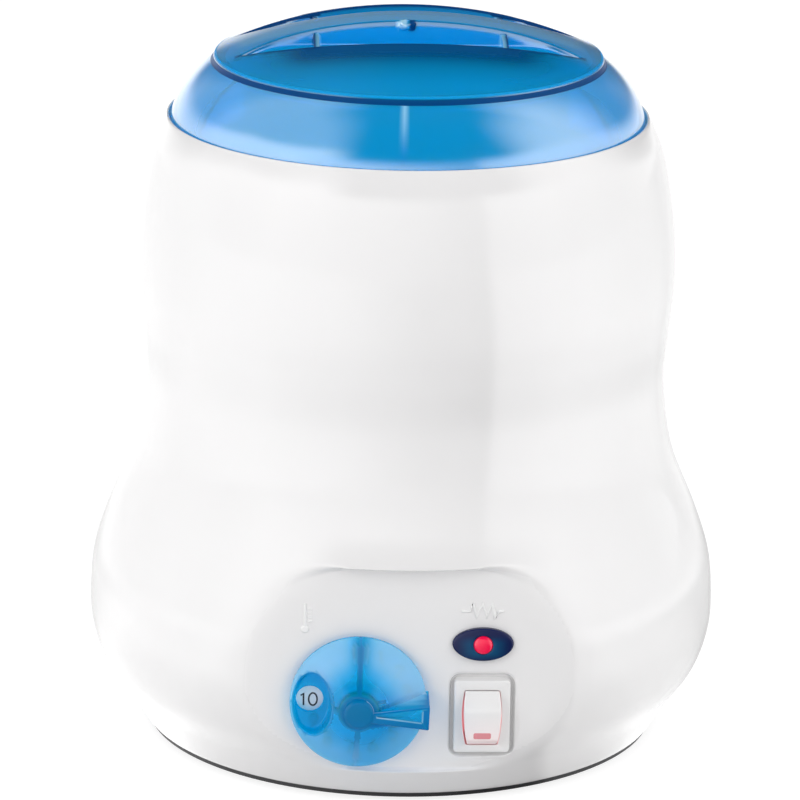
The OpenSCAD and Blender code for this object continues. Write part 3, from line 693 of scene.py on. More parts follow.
def body_mesh():
    """The shell from its foot up the outside, over the deck to the mouth, and down the inside."""
    # Rows lie closer where the panel's ledges are
    heights = spaced(SHELL_LOW + 0.5, 8, 0.9)[:-1] + spaced(8, 14, 0.28)[:-1] \
        + spaced(14, 60, 1.0)[:-1] + spaced(60, 72, 0.3)[:-1] + spaced(72, BODY_TOP - 0.6, 1.4)
    rows = [(BASE_R - WALL, SHELL_LOW, 0), (BASE_R - 0.5, SHELL_LOW, 0),
            (BASE_R - 0.1, SHELL_LOW + 0.15, 0)]
    rows += [(side_radius(z), z, 0) for z in heights]
    top = side_radius(BODY_TOP - 0.6)
    rows += [(mix(top, CREST_R, 0.35), BODY_TOP - 0.18, 0), (mix(top, CREST_R, 0.62), BODY_TOP, 0)]
    rows += [(CREST_R + 0.05, BODY_TOP - 0.12, 0), (CREST_R, BODY_TOP - 0.35, 0),
             (CREST_R, DECK_Z + 0.3, 0), (CREST_R - 0.3, DECK_Z, 0)]
    rows += [(MOUTH_R + 0.3, DECK_Z, 0), (MOUTH_R, DECK_Z - 0.3, 0), (MOUTH_R, DECK_Z - DECK_T, 0)]
    inner = spaced(SHELL_LOW + 0.5, DECK_Z - DECK_T, 2.0)
    rows += [(side_radius(z) - WALL, z, WALL) for z in reversed(inner)]
    surface = Surface()
    for radius, z, inward in rows:
        row = body_row(radius, z, inward)
        count = len(row)
        surface.vertices += row
    side_rows = range(3, 3 + len(heights))
    patch_columns = [round((x + FRONT_HALF) / COLUMN) for x in PATCH_X]
    patch_rows = [min(side_rows, key=lambda i: abs(rows[i][1] - z)) for z in PATCH_Z]
    (r0, r1), (c0, c1) = patch_rows, patch_columns
    for i in range(len(rows)):
        j = (i + 1) % len(rows)
        for k in range(count):
            m = (k + 1) % count
            if not (r0 <= i < r1 and c0 <= k < c1):
                surface.faces.append((i * count + k, i * count + m, j * count + m, j * count + k))
    surface.take(recess_patch(surface.vertices, count, patch_rows, patch_columns))
    return surface


def recess_patch(vertices, count, patch_rows, patch_columns):
    """Triangles that fill the gap left round the switch, with the soft-lipped recess in them."""
    (r0, r1), (c0, c1) = patch_rows, patch_columns
    ring = [(r0, c) for c in range(c0, c1)] + [(r, c1) for r in range(r0, r1)] \
        + [(r1, c) for c in range(c1, c0, -1)] + [(r, c0) for r in range(r1, r0, -1)]
    points = [(vertices[r * count + c][0], vertices[r * count + c][2]) for r, c in ring]
    edges = loop_edges(0, len(points))
    steps = 12
    for s in range(steps + 1):
        grow = RECESS_LIP - 2 * RECESS_LIP * s / steps
        loop = round_rect(RECESS_W + 2 * grow, RECESS_H + 2 * grow, RECESS_R + grow)
        edges += loop_edges(len(points), len(loop))
        points += [(x + SWITCH[0], z + SWITCH[1]) for x, z in loop]
    # A few free points keep the triangles even where the surface curves
    for r in range(r0 + 1, r1):
        for c in range(c0 + 1, c1):
            x, _, z = vertices[r * count + c]
            if outside_recess(x, z) > RECESS_LIP + 0.4:
                points.append((x, z))
    patch = Surface()
    found, triangles = triangulated(points, edges)
    for x, z in found:
        # The wall is steep at the sides and slopes at the top
        soft = mix(RECESS_WALL, RECESS_LIP, smoothstep((z - SWITCH[1] - 9) / 2.5))
        sink = RECESS_DEEP * smoothstep((soft - outside_recess(x, z)) / (2 * soft))
        patch.vertices.append((x, front_y(x, z, side_radius(z)) + sink, z))
    patch.faces = [tuple(t) for t in triangles]
    return patch


def outside_recess(x, z):
    """Distance from the recess outline, negative inside."""
    dx = abs(x - SWITCH[0]) - (RECESS_W / 2 - RECESS_R)
    dz = abs(z - SWITCH[1]) - (RECESS_H / 2 - RECESS_R)
    return math.hypot(max(dx, 0), max(dz, 0)) + min(max(dx, dz), 0) - RECESS_R


# Pad for the cord's bush at the back, and the holes that cutters make through the panel
PAD_R = 10.0
PAD_Y = (83.6, 88.4)
CORD_Z = 30.0
CORD_HOLE_R = 6.0
SHAFT_HOLE_R = 3.8
LENS_HOLE_R = 4.5
SWITCH_HOLE = (13.0, 19.4)
CUT_DEPTHS = (-6, 4)


def rod(radius, low, high, edge=0.0):
    """Closed cylinder along Z, its upper edge rounded."""
    top = [(radius - edge * left, high - edge * gone) for left, gone in reversed(quarter())] \
        if edge else [(radius, high)]
    return lathe([(0, low), (radius, low)] + top + [(0, high)])


def to_back(u, v, w):
    """Map from a plan lying on XY to the pad at the back."""
    return -u, w, CORD_Z + v


def body_piece():
    """The shell with its pad and holes, marked where its front is the flat panel."""
    piece = make("body_shell_skin", body_mesh(), "base", 60)
    join(piece, rod(PAD_R, *PAD_Y, 0.5).moved(to_back))
    cut_away(piece, rod(CORD_HOLE_R, 74, 94).moved(to_back))
    for radius, place in ((SHAFT_HOLE_R, DIAL), (LENS_HOLE_R, LAMP)):
        cut_away(piece, rod(radius, *CUT_DEPTHS).moved(facing(*place, PANEL_Y)))
    opening = round_rect(*SWITCH_HOLE, 0.3, 2)
    cut_away(piece, column([at_height(opening, w) for w in CUT_DEPTHS]).moved(facing(*SWITCH, PANEL_Y)))
    finish_mesh(piece, 60)
    mark(piece, "panel", lambda x, y, z: smoothstep((panel_share(x, z) - 0.5) * 4)
         * float(y < 0) * smoothstep((0.8 - abs(y + PANEL_Y)) * 3))
    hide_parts("body_shell")
    return piece


# Lid

# Radii and heights, or both as a pair
LID_R = 65.2
LID_LOW = 172.0
FLANK_LOW = 175.0
FLANK_TOP = (54.2, 189.8)
STEP_TOP = (53.2, 191.7)
STEP_MIDDLE = (53.6, 190.95)
FLANK_BOW = 27.0
DOME_TOP = 202.5
LID_WALL = 2.0
# The two finger wells leave a bar between them
BAR_HALF = 6.5
WELL_TIP = (46.3, 13.0)
WELL_FRONT = 25.0
WELL_FLOOR = 195.0
LEAST_WELL = 2.2
WELL_DRAFT = 0.35
LIP_BAND = 0.6
# Webs across the wells, ribs inside the flank and the gate stub
WEB_X = 25.6
RIB_TURN = -3
RIB_INNER = 50.3
RIB_HALF = (0.8, 0.65)
GATE_AT = (-0.75, -6.2, 200.9)
GATE_HALF = (2.4, 1.3, 1.6)
SKIRT_TURNS = 240
DOME_RING = 52.6


def cap_radius(half, rise):
    """Radius of an arc that rises by so much over half its chord."""
    return (half * half + rise * rise) / (2 * rise)


DOME_BALL = cap_radius(STEP_TOP[0], DOME_TOP - STEP_TOP[1])
DOME_CENTRE = DOME_TOP - DOME_BALL
FRONT_BOW = cap_radius(WELL_TIP[0], WELL_FRONT - WELL_TIP[1])


def dome_z(x, y, deep=0.0):
    return DOME_CENTRE + math.sqrt((DOME_BALL - deep) ** 2 - x * x - y * y)


def bow(p, q, radius, n):
    """Points on an arc that bulges to the right on its way from p to q."""
    dx, dy = q[0] - p[0], q[1] - p[1]
    span = math.hypot(dx, dy)
    h = math.sqrt(radius ** 2 - span * span / 4)
    cx = (p[0] + q[0]) / 2 - h * dy / span
    cy = (p[1] + q[1]) / 2 + h * dx / span
    a0 = math.atan2(p[1] - cy, p[0] - cx)
    a1 = math.atan2(q[1] - cy, q[0] - cx)
    return [(cx + radius * math.cos(mix(a0, a1, i / n)), cy + radius * math.sin(mix(a0, a1, i / n)))
            for i in range(n + 1)]


FLANK = bow((LID_R, FLANK_LOW), FLANK_TOP, FLANK_BOW, 24)


def well_floor(x, y):
    """The well's floor, which rises and falls with the dome towards the well's tips."""
    return -smooth_max(-WELL_FLOOR, LEAST_WELL - dome_z(x, y), 1.5)


def well_edges(t, grow):
    """The y of a front well's rear and front edge, t of the way from its middle to a tip."""
    near = BAR_HALF - grow
    rear = -near - (WELL_TIP[1] - near) * t ** 5
    low = math.sqrt(FRONT_BOW ** 2 - WELL_TIP[0] ** 2)
    share = (math.sqrt(FRONT_BOW ** 2 - (WELL_TIP[0] * t) ** 2) - low) / (FRONT_BOW - low)
    return rear, -WELL_TIP[1] - (WELL_FRONT + grow - WELL_TIP[1]) * share


def well_reach(grow):
    return WELL_TIP[0] + grow * (1.6 if grow < 1 else 0.6)


def finger_loop(grow, side, n=44):
    """Crescent outline of a finger well, grown outwards, as x, y."""
    tip = well_reach(grow)
    points = [(tip * i / n, well_edges(abs(i) / n, grow)[0]) for i in range(-n, n + 1)]
    points += [(tip * i / n, well_edges(abs(i) / n, grow)[1]) for i in range(n - 1, -n, -1)]
    return [(side * x, side * y) for x, y in points]


def in_well(x, y, grow):
    """How far x, y is inside the nearer of the two wells, negative outside it."""
    tip = well_reach(grow)
    t = abs(x) / tip
    if t >= 1:
        return tip - abs(x)
    rear, front = well_edges(t, grow)
    return min(rear + abs(y), -abs(y) - front)


def well_rows(side, deep, lip, foot):
    """Rows down a well's wall, from the dome to its floor, deep inside the lid's outer face."""
    rows = []

    def place(grow, pick):
        points = []
        for x, y in finger_loop(grow, side):
            high = dome_z(x, y, deep)
            low = well_floor(x, y) - deep
            points.append((x, y, pick(high, low)))
        rows.append(points)

    for wider in (LIP_BAND, LIP_BAND / 2):
        place(deep + lip + wider, lambda high, low: high)
    for left, gone in quarter():
        place(deep + lip * left, lambda high, low: high - lip * gone)
    for k in range(1, 4):
        place(deep - WELL_DRAFT * k / 4, lambda high, low: mix(high - lip, low + foot, k / 4))
    for left, gone in quarter():
        place(deep - WELL_DRAFT - foot * gone, lambda high, low: low + foot * left)
    return rows


def lid_shell():
    """Closed shell of the lid: flank, step, dome and the two finger wells, 2 mm thick."""
    surface = Surface()
    outer = [(r, dome_z(r, 0)) for r in (DOME_RING, STEP_TOP[0] - 0.3)]
    outer += [STEP_TOP, STEP_MIDDLE, *reversed(FLANK), (LID_R, LID_LOW), (LID_R - LID_WALL, LID_LOW)]
    cuts = [0, 0, 0.25, 0, 0.3] + [0] * (len(FLANK) - 1) + [0.35, 0]
    d = LID_WALL
    inner_ring = DOME_RING - d * 1.1
    inner_top = (FLANK_TOP[0] - d * 0.75, FLANK_TOP[1] - d * 0.75)
    inner_flank = bow((LID_R - d, FLANK_LOW), inner_top, FLANK_BOW - d, 24)
    inner = inner_flank + [(STEP_TOP[0] - d * 1.1, STEP_TOP[1] - d), (inner_ring, dome_z(inner_ring, 0, d))]
    inner_cuts = [0.35] + [0] * len(inner_flank[1:-1]) + [1.2, 0.9, 0]
    profile = rounded(outer + inner, cuts + inner_cuts)
    rows = surface.rows(revolve_rows(profile, SKIRT_TURNS))
    for deep, ring, lip, foot in ((0.0, rows[0], 0.55, 0.9), (d, rows[-1], 1.0, 1.2)):
        loops = [surface.points(ring)]
        lip_grow = deep + lip + LIP_BAND
        floor_grow = deep - WELL_DRAFT - foot
        for side in (1, -1):
            made = well_rows(side, deep, lip, foot)
            surface.rows(made)
            loops.append(made[0])
            surface.fill([made[-1]], lambda x, y: well_floor(x, y) - deep, 2.0,
                         lambda x, y: in_well(x, y, floor_grow) if side * y < 0 else -1)
        radius = math.hypot(*loops[0][0][:2])
        surface.fill(loops, lambda x, y: dome_z(x, y, deep), 2.2,
                     lambda x, y: min(radius - math.hypot(x, y), -in_well(x, y, lip_grow)))
    return surface


# Across a web, from foot to foot: how far aside, and how far from its upper edge
WEB_SECTION = ((-0.8, 0), (-0.8, -0.4), (-0.72, -0.15), (-0.45, 0),
               (0.45, 0), (0.72, -0.15), (0.8, -0.4), (0.8, 0))


def web(x, side):
    """Thin upright web across a finger well, its upper edge rounded."""
    surface = Surface()
    front = FRONT_BOW - WELL_FRONT - math.sqrt(FRONT_BOW ** 2 - x * x)
    rows = []
    for y in spaced(front - 1, -BAR_HALF + 0.6, 0.8):
        high = dome_z(x, y, 1.0)
        low = well_floor(x, y) - 0.8
        rows.append([(side * (x + dx), side * y, low if i in (0, 7) else high + dz)
                     for i, (dx, dz) in enumerate(WEB_SECTION)])
    surface.cap(surface.rows(rows))
    return surface


def rib(angle):
    """Upright rib inside the flank, turned by an angle from the front."""
    surface = Surface()
    rows = []
    for z in spaced(LID_LOW + 3, 190.2, 0.6):
        far = flank_radius(z) - 0.8
        near = min(max(RIB_INNER, RIB_INNER + (179 - z) * 3.2), far - 0.3)
        foot, edge = RIB_HALF
        rows.append([(-foot, -far, z), (foot, -far, z), (edge, -near, z), (-edge, -near, z)])
    surface.cap(surface.rows(rows))
    c, s = math.cos(angle), math.sin(angle)
    surface.vertices = [(x * c - y * s, x * s + y * c, z) for x, y, z in surface.vertices]
    return surface


def flank_radius(z):
    """Outer radius of the lid's flank at a height."""
    return radius_at(FLANK, z)


def lid_inside(x, y, z):
    """1 on the lid's inner face and 0 on its outer one."""
    radius = math.hypot(x, y)
    # The rounding over the step is matt like the inner face
    if STEP_MIDDLE[1] + 0.05 < z < dome_z(STEP_TOP[0] - 0.5, 0) + 0.02 and radius > STEP_TOP[0] - 0.6:
        return 1.0
    if z < FLANK_TOP[1] or radius > STEP_TOP[0]:
        return float(radius < flank_radius(z) - 1)
    if in_well(x, y, 0.6) > 0:
        return float(z < well_floor(x, y) - 0.5)
    return float(z < dome_z(x, y) - 1)


def added_shares(x, y, z):
    """How much painted shade and painted highlight the webs and the gate stub get, and None elsewhere."""
    across = abs(x) - WEB_X
    if abs(across) < 0.85 and in_well(x, y, 0.0) > 0.1 and well_floor(x, y) + 0.3 < z:
        return float(across > -0.1), 0.7 * float(across < -0.4)
    side = gate_side(x, y, z)
    if side is None:
        return None
    return smoothstep(side * 3), 0.9 * smoothstep(0.3 - side * 3) * smoothstep((z - 200) / 0.8)


def lid_edge(x, y, z):
    """Painted shade on the lid: 1 on its step and the wells' lips, less where walls stand one behind
    another.
    """
    added = added_shares(x, y, z)
    if added:
        return added[0]
    radius = math.hypot(x, y)
    # Painted shade: a dark band over the step
    if radius > STEP_TOP[0] - 0.6:
        return float(FLANK_TOP[1] - 0.15 < z < STEP_MIDDLE[1] + 0.05)
    if z < dome_z(x, y) - 1.1 or z > dome_z(x, y) + 0.1:
        return 0.0
    rear, front = well_edges(min(abs(x) / WELL_TIP[0], 1), 0.0)
    past_front = abs(y) + front
    beside = abs(x) < WELL_TIP[0] + 1.5
    # Painted shade at the front lip, fading down the dome below it
    if beside and past_front > -0.3:
        if past_front < 0.95:
            return 1.0
        fade = smoothstep((WELL_TIP[0] + 1.5 - abs(x)) / 20)
        return 0.95 * (1 - smoothstep((past_front - 5.0) / 18)) * fade
    return 0.6 * float(beside and -0.25 < -abs(y) - rear < 0.25)


def lid_streak(x, y, z):
    """Painted highlights: light caught by the bar, by the rib in front, by the ribs' inner edges and by the
    added parts.
    """
    added = added_shares(x, y, z)
    if added:
        return added[1]
    if abs(y) < BAR_HALF - 0.4 and abs(x) < WELL_TIP[0] and z > dome_z(x, y) - 0.1:
        return 0.3
    radius = math.hypot(x, y)
    turn = (math.degrees(math.atan2(x, -y)) - RIB_TURN + 30) % 60 - 30
    if z < FLANK_TOP[1] - 0.1 and abs(turn) < 1.2:
        if radius > flank_radius(z) - 0.6:
            return 0.8 * smoothstep((z - 177) / 12) * float(abs(turn) < 0.3 and y < -50)
        return float(radius < RIB_INNER + 0.1)
    return 0.0


def gate_stub():
    """What is left of the moulding gate, a lump on the front edge of the bar."""
    (x, y, z), (long, deep, high) = GATE_AT, GATE_HALF
    rings = [(math.cos(a), math.sin(a)) for a in (math.radians(-90 + 12 * i) for i in range(16))]
    stub = lathe(rings, 32)

    def lump(u, v, w):
        swell = 1 + 0.12 * math.sin(5 * u + 3 * w) * math.cos(4 * v - 2 * w)
        return x + u * long * swell, y + v * deep * swell, z + w * high * swell

    return stub.moved(lump)


def gate_side(x, y, z):
    """-1 to 1 across the gate stub, and nothing outside it."""
    u, v, w = ((p - middle) / half for p, middle, half in zip((x, y, z), GATE_AT, GATE_HALF))
    near = u ** 2 + v ** 2 + w ** 2
    return u if 0.6 < near < 1.5 and y < GATE_AT[1] + 0.5 else None


def lid_piece():
    """The lid with its webs, ribs and gate stub, marked for its finish."""
    piece = make("lid_dome", lid_shell(), "lid", 40)
    added = [web(x, side) for x in (-WEB_X, WEB_X) for side in (1, -1)]
    added += [rib(math.radians(60 * i + RIB_TURN)) for i in range(6)] + [gate_stub()]
    for part in added:
        join(piece, part)
    finish_mesh(piece, 40)
    for name, share in (("inside", lid_inside), ("edge", lid_edge), ("painted_highlight", lid_streak)):
        mark(piece, name, share)
    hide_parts("lid")
    return piece


# Pilot lens and lamp

# Stems are a radius and how far they reach behind the panel's face
LENS_HALF = (8.2, 4.55)
LENS_BALL = 32.0
LENS_TOP = 1.95
LENS_STEM = (4.45, 7)
LAMP_R = 2.6
LAMP_STEM = (LAMP_R - 0.08, 14)


def lens_piece():
    surface = Surface()

    def oval(share, height):
        """Loop between the bore, at share 0, and the lens outline, at share 1."""
        loop = ellipse(0, 0, mix(LAMP_R, LENS_HALF[0], share), mix(LAMP_R, LENS_HALF[1], share))
        return at_height(loop, height)

    def dome(x, y):
        return LENS_TOP - (x * x + y * y) / (2 * LENS_BALL)

    radius, deep = LENS_STEM
    loops = [at_height(ellipse(0, 0, radius, radius), w) for w in (-deep, 0)]
    loops += [oval(1, 0), oval(1.01, 0.15)]
    for left, gone in quarter():
        loops.append(oval(1.01 - 0.09 * gone, lambda x, y: dome(x, y) - 0.5 * left))
    loops += [oval(share, dome) for share in (0.75, 0.55, 0.35, 0.2, 0.06)]
    loops += [oval(0.01, lambda x, y: dome(x, y) - 0.12), oval(0, 0.5), oval(0, -deep)]
    made = surface.rows(loops)
    surface.strip(made[-1], made[0])
    surface.moved(facing(*LAMP, PANEL_Y))
    piece = make("pilot_lens_oval", surface, "base", 50)
    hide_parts("pilot_lens")
    return piece


def lamp_piece():
    radius, deep = LAMP_STEM
    turns = [math.radians(12 * i) for i in range(1, 8)]
    profile = [(0, -deep), (radius, -deep), (radius, 1.6)]
    profile += [(radius * math.cos(a), 1.6 + 0.9 * math.sin(a)) for a in turns]
    surface = lathe(profile + [(0, 2.5)], 64).moved(facing(*LAMP, PANEL_Y))
    piece = make("pilot_lamp_dome", surface, "base", 50)
    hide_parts("pilot_lamp")
    return piece


# Rocker switch

# Depths on the switch count forwards from the floor of the CAD shell's recess
BEZEL_Y = 73.8
CAD_RECESS = 1.2
BEZEL = (15.2, 20.6)
BEZEL_T = 2.2
BEZEL_EDGE = 0.45
SWITCH_BOX = (12.8, 19)
SWITCH_DEEP = -14
SLOT_FLOOR = -7.0
PIVOT_Y = 72.9
ROCKER_HALF = 5.1
ROCKER_BULGE = 0.9
SLOT_TOP = 7.5
ROCKER_END = 8.4
RIDGE = (1.6, 6.5)
TIP_ANGLE = -10.0
LOW_SLOPE = math.tan(math.radians(-TIP_ANGLE))
HIGH_SLOPE = math.tan(math.radians(16))
# The rocker's window: its size, its place and the radius of its corners
WINDOW = (4.7, 1.7)
WINDOW_AT = -5.45
WINDOW_R = 0.45


def barrel_half(v, grow=0.0):
    """Half the width of the rocker at a height of its face."""
    return ROCKER_HALF + grow - ROCKER_BULGE * ((v - 0.7) / 8.1) ** 2


def barrel_loop(grow, low, high, n=12):
    """Outline of the rocker's slot, its corners rounded."""
    right = [(barrel_half(v, grow), v) for v in spaced(low, high, (high - low) / n)]
    loop = right + [(-x, v) for x, v in reversed(right)]
    around = [loop[-1]] + loop + [loop[0]]
    cuts = [0] + [0.5 if i in (0, n, n + 1, 2 * n + 1) else 0 for i in range(len(loop))] + [0]
    return rounded(around, cuts, 4)[1:-1]


def slot_low(z):
    """Lower end of the slot at a height over the recess, just clear of the rocker's round end."""
    out = max(z + BEZEL_Y - PIVOT_Y, 0)
    return -math.sqrt((ROCKER_END + 0.15) ** 2 - out * out)


def housing_piece():
    """Bezel with the slot for the rocker, and the box behind the panel."""
    surface = Surface()
    back = CAD_RECESS - RECESS_DEEP
    outline = [(*BEZEL, 1.0, back), (BEZEL[0] - 0.1, BEZEL[1] - 0.1, 1.0, BEZEL_T - BEZEL_EDGE)]
    for left, gone in quarter(1):
        less = 0.1 + 0.8 * gone
        outline.append((BEZEL[0] - less, BEZEL[1] - less, 1.0 - less / 2, BEZEL_T - BEZEL_EDGE * left))
    made = surface.rows([at_height(round_rect(w, h, r, 5), z) for w, h, r, z in outline])
    box = surface.rows([at_height(round_rect(*SWITCH_BOX, 0.5, 5), z) for z in (SWITCH_DEEP, back)])
    surface.strip(box[1], made[0])
    surface.fan(box[0], (0, 0, SWITCH_DEEP))
    slot = [(0.3, 0.3, BEZEL_T), (0.26, 0.1, BEZEL_T - 0.06), (0.25, 0.0, BEZEL_T - 0.2)]
    slot += [(0.25, 0.0, z) for z in (1.5, 1.0, 0.4, -0.4, SLOT_FLOOR)]
    inner = surface.rows([at_height(barrel_loop(grow, slot_low(z) - lip, SLOT_TOP + lip), z)
                          for grow, lip, z in slot])
    surface.fan(inner[-1], (0, 0, SLOT_FLOOR))
    loops = [surface.points(made[-1]), surface.points(inner[0])]

    def clearance(x, y):
        inside = min(barrel_half(y, 0.3) - abs(x), SLOT_TOP + 0.3 - y, y - slot_low(BEZEL_T) + 0.3)
        edge = min(BEZEL[0] / 2 - 0.4 - abs(x), BEZEL[1] / 2 - 0.4 - abs(y))
        return min(edge + 0.01, -inside)

    surface.fill(loops, lambda x, y: BEZEL_T, 40.0, clearance)
    surface.moved(facing(*SWITCH, BEZEL_Y))
    piece = make("switch_bezel", surface, "base", 40)

    # Painted glow in the gap round the rocker: strong below the ridge, faint above it
    def lit(x, y, z):
        u, v = x - SWITCH[0], z - SWITCH[1]
        in_gap = abs(u) < barrel_half(v, 0.27) and y > -BEZEL_Y - BEZEL_T + 0.04
        return float(in_gap and abs(u) > 2 and -7.8 < v < SLOT_TOP - 0.5) * (1.0 if v < RIDGE[0] else 0.2)

    mark(piece, "lit", lit)
    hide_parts("switch_housing")
    return piece


def in_rocker(u, v, w):
    """Map from the rocker's own frame, its ridge outwards, to its place in the switch."""
    a = math.radians(TIP_ANGLE)
    high, out = v * math.cos(a) - w * math.sin(a), v * math.sin(a) + w * math.cos(a)
    return SWITCH[0] + u, -PIVOT_Y - out, SWITCH[1] + high


def rocker_line():
    """The rocker from its side, from its foot at the lower end over the ridge to the upper end."""
    low = ellipse(0, 0, ROCKER_END, ROCKER_END, 5, 178, 146)
    low_top = RIDGE[1] - (6.45 + RIDGE[0]) * LOW_SLOPE
    high_top = RIDGE[1] - (6.3 - RIDGE[0]) * HIGH_SLOPE
    points = low + [(-6.75, low_top - 0.05), (-4, mix(low_top, RIDGE[1], 2.45 / 8.05)), RIDGE]
    points += [(4.5, mix(high_top, RIDGE[1], 0.383)), (6.6, high_top - 0.09), (6.75, high_top - 0.9),
               (6.5, 0.2)]
    cuts = [0] * 6 + [0.7, 0, 1.2, 0, 0.4, 0, 0]
    return rounded(points, cuts, 5)


def rocker_surface():
    """The rocker swept across its width, its long edges rounded."""
    surface = Surface()
    edge = 0.35
    made = []
    for v, w in rocker_line():
        half = barrel_half(v)
        section = [(half - edge * gone, edge * left) for left, gone in quarter()]
        line = [(-u, d) for u, d in section] + [(u, d) for u, d in reversed(section)]
        # The edge is rounded towards the rocker's foot
        near = Vector((v, w)).normalized()
        made.append(surface.row([(u, v - near.x * d, w - near.y * d) for u, d in line]))
    for a, b in zip(made, made[1:]):
        for i in range(len(a) - 1):
            surface.faces.append((a[i], a[i + 1], b[i + 1], b[i]))
    surface.faces.append(tuple(row[0] for row in made))
    surface.faces.append(tuple(row[-1] for row in reversed(made)))
    surface.faces.append(tuple(reversed(made[0])) + tuple(made[-1]))
    return surface


def in_window(loop, height):
    """Loop moved to the window's place on the rocker, at a height that may depend on its y."""
    return [(x, WINDOW_AT + y, height(y)) for x, y in loop]


def rocker_pieces():
    """The rocker, and the lens in its window."""
    rocker = make("rocker_cap", rocker_surface().moved(in_rocker), "rocker", 40)
    opening = round_rect(*WINDOW, WINDOW_R, 4)
    cut_away(rocker, column([in_window(opening, lambda y: w) for w in (3.4, 8)]).moved(in_rocker))
    finish_mesh(rocker, 40)

    # Painted glow on the rocker's sides below the ridge and round its window
    def lit(x, y, z):
        u, v = x - SWITCH[0], z - SWITCH[1]
        side = smoothstep((abs(u) - barrel_half(v) + 0.3) / 0.25) * (0.6 if -7.3 < v < RIDGE[0] else 0.05)
        window = math.hypot(max(abs(u) - 2.4, 0), v + 6.5) / 5
        return max(side, 0.4 * math.exp(-window * window))

    mark(rocker, "lit", lit)
    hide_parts("switch_rocker")
    face = RIDGE[1] - (RIDGE[0] - WINDOW_AT) * LOW_SLOPE
    glass = []
    for less, drop in ((0, 1.5), (0, 0.3), (0.05, 0.16), (0.2, 0.1), (0.5, 0.08)):
        loop = round_rect(WINDOW[0] - less, WINDOW[1] - less, WINDOW_R - less / 2 if less < 0.5 else 0.2, 4)
        glass.append(in_window(loop, lambda y: face - drop + y * LOW_SLOPE))
    window = make("rocker_window_lens", column(glass).moved(in_rocker), "rocker", 40)
    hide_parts("rocker_window")
    return rocker, window


# Dial knob

# Depths and heights of the knob count from its foot, forwards; its plan's x points to the grip
KNOB_Y = 76.2
KNOB_R = 18.4
KNOB_TURN = -2.0
RIM_T = 1.4
CROWN_R = 4.6
CROWN_T = 9.8
HUB_R = 4.0
HUB_T = 11.5
SKIN = 1.5
SOCKET_R = 5.2
SOCKET_DEEP = 8.0
SOCKET_TOP = 9.0
DISH_AT = -12.3
DISH_HALF = (5.0, 8.4)
DISH_FLOOR = 1.2
NUMBER_AT = (-13.0, 0.5)
NUMBER_R = 3.65
GRIP_T = 11.0
GRIP_LONG = KNOB_R + 0.5
GRIP_START = 2.0
GRIP_BORDER = 1.2
GRIP_LEAN = math.tan(math.radians(6))


def cone(r):
    """Height of the knob's sloping face at a radius."""
    share = (KNOB_R - min(r, KNOB_R)) / (KNOB_R - CROWN_R)
    return RIM_T + (CROWN_T - RIM_T) * min(share, 1.0) ** 0.85


def cone_at(x, y):
    return cone(math.hypot(x, y))


def knob_shell():
    """The knob's skin, its hub and rim turned from one line over the outside and back inside."""
    radii = spaced(CROWN_R + 0.2, KNOB_R - 0.5, 0.9)
    outer = [(0, HUB_T), (HUB_R - 0.9, HUB_T), (HUB_R - 0.4, HUB_T - 0.12), (HUB_R - 0.08, HUB_T - 0.4),
             (HUB_R, HUB_T - 0.8), (HUB_R, CROWN_T + 0.35), (HUB_R + 0.15, CROWN_T + 0.1),
             (CROWN_R, CROWN_T)]
    outer += [(r, cone(r)) for r in radii]
    outer += [(KNOB_R - 0.2, cone(KNOB_R - 0.2) - 0.05), (KNOB_R - 0.03, RIM_T - 0.1),
              (KNOB_R, RIM_T - 0.4), (KNOB_R, 0.3), (KNOB_R - 0.1, 0.08), (KNOB_R - 0.3, 0)]
    inner = [(KNOB_R - SKIN + 0.2, 0), (KNOB_R - SKIN, 0.2)]
    inner += [(r - SKIN, cone(r) - SKIN * 1.1) for r in reversed(radii)]
    inner += [(0, CROWN_T - SKIN * 1.1)]
    return lathe(outer + inner, 144)


def knob_rib(start, end, half):
    """Upright rib under the knob's skin, between two places of its plan."""
    start, end = Vector(start), Vector(end)
    way = (end - start).normalized()
    side = Vector((-way.y, way.x)) * half
    low = 0.6
    loops = []
    for i in range(9):
        here = start.lerp(end, i / 8)
        high = cone(here.length) - 0.7
        a, b = here + side, here - side
        loops.append([(a.x, a.y, low), (b.x, b.y, low), (b.x, b.y, high), (a.x, a.y, high)])
    return column(loops)


def dish_loop(grow, height):
    return at_height(ellipse(DISH_AT, 0, DISH_HALF[0] + grow, DISH_HALF[1] + grow), height)


def dish_block():
    """Solid under the knob's skin that the finger well is cut into."""
    return column([dish_loop(1.1, 0.2), dish_loop(1.1, lambda x, y: cone_at(x, y) - 0.8)])


def dish_cutter():
    """What the knob's finger well takes away, with its rounded lip and foot."""
    lip, foot, draft = 0.5, 0.6, 0.35
    loops = [dish_loop(lip, 14)]
    for left, gone in quarter():
        loops.append(dish_loop(lip * left, lambda x, y: cone_at(x, y) - lip * gone))
    loops += [dish_loop(-draft - foot * gone, DISH_FLOOR + foot * left) for left, gone in quarter()]
    return column(loops)


def grip_low(u):
    """Lower side of the wedge grip's plan."""
    return -2.3 - (u - GRIP_START) * 1.6 / 16.9


def grip_high(u, height):
    """Its upper side, which leans inwards as it rises."""
    return 0.9 + (u - GRIP_START) * math.tan(math.radians(9.3)) - GRIP_LEAN * (height - RIM_T)


def grip_loop(wall, height, inset=0.0, start=GRIP_START, border=0.0):
    """Plan of the grip, inside its outer faces by a wall, an inset and a border below and at its end."""
    less = wall + inset
    right = GRIP_LONG - less - border

    def lower(u):
        return grip_low(u) + less + border

    def upper(u):
        return grip_high(u, height) - wall * 0.75 - inset

    corners = [(start, lower(start)), (right, lower(right)), (right, upper(right)), (start, upper(start))]
    around = [corners[-1]] + corners + [corners[0]]
    return at_height(rounded(around, [0, 0, 0.5, 0.5, 0, 0], 4)[1:-1], height)


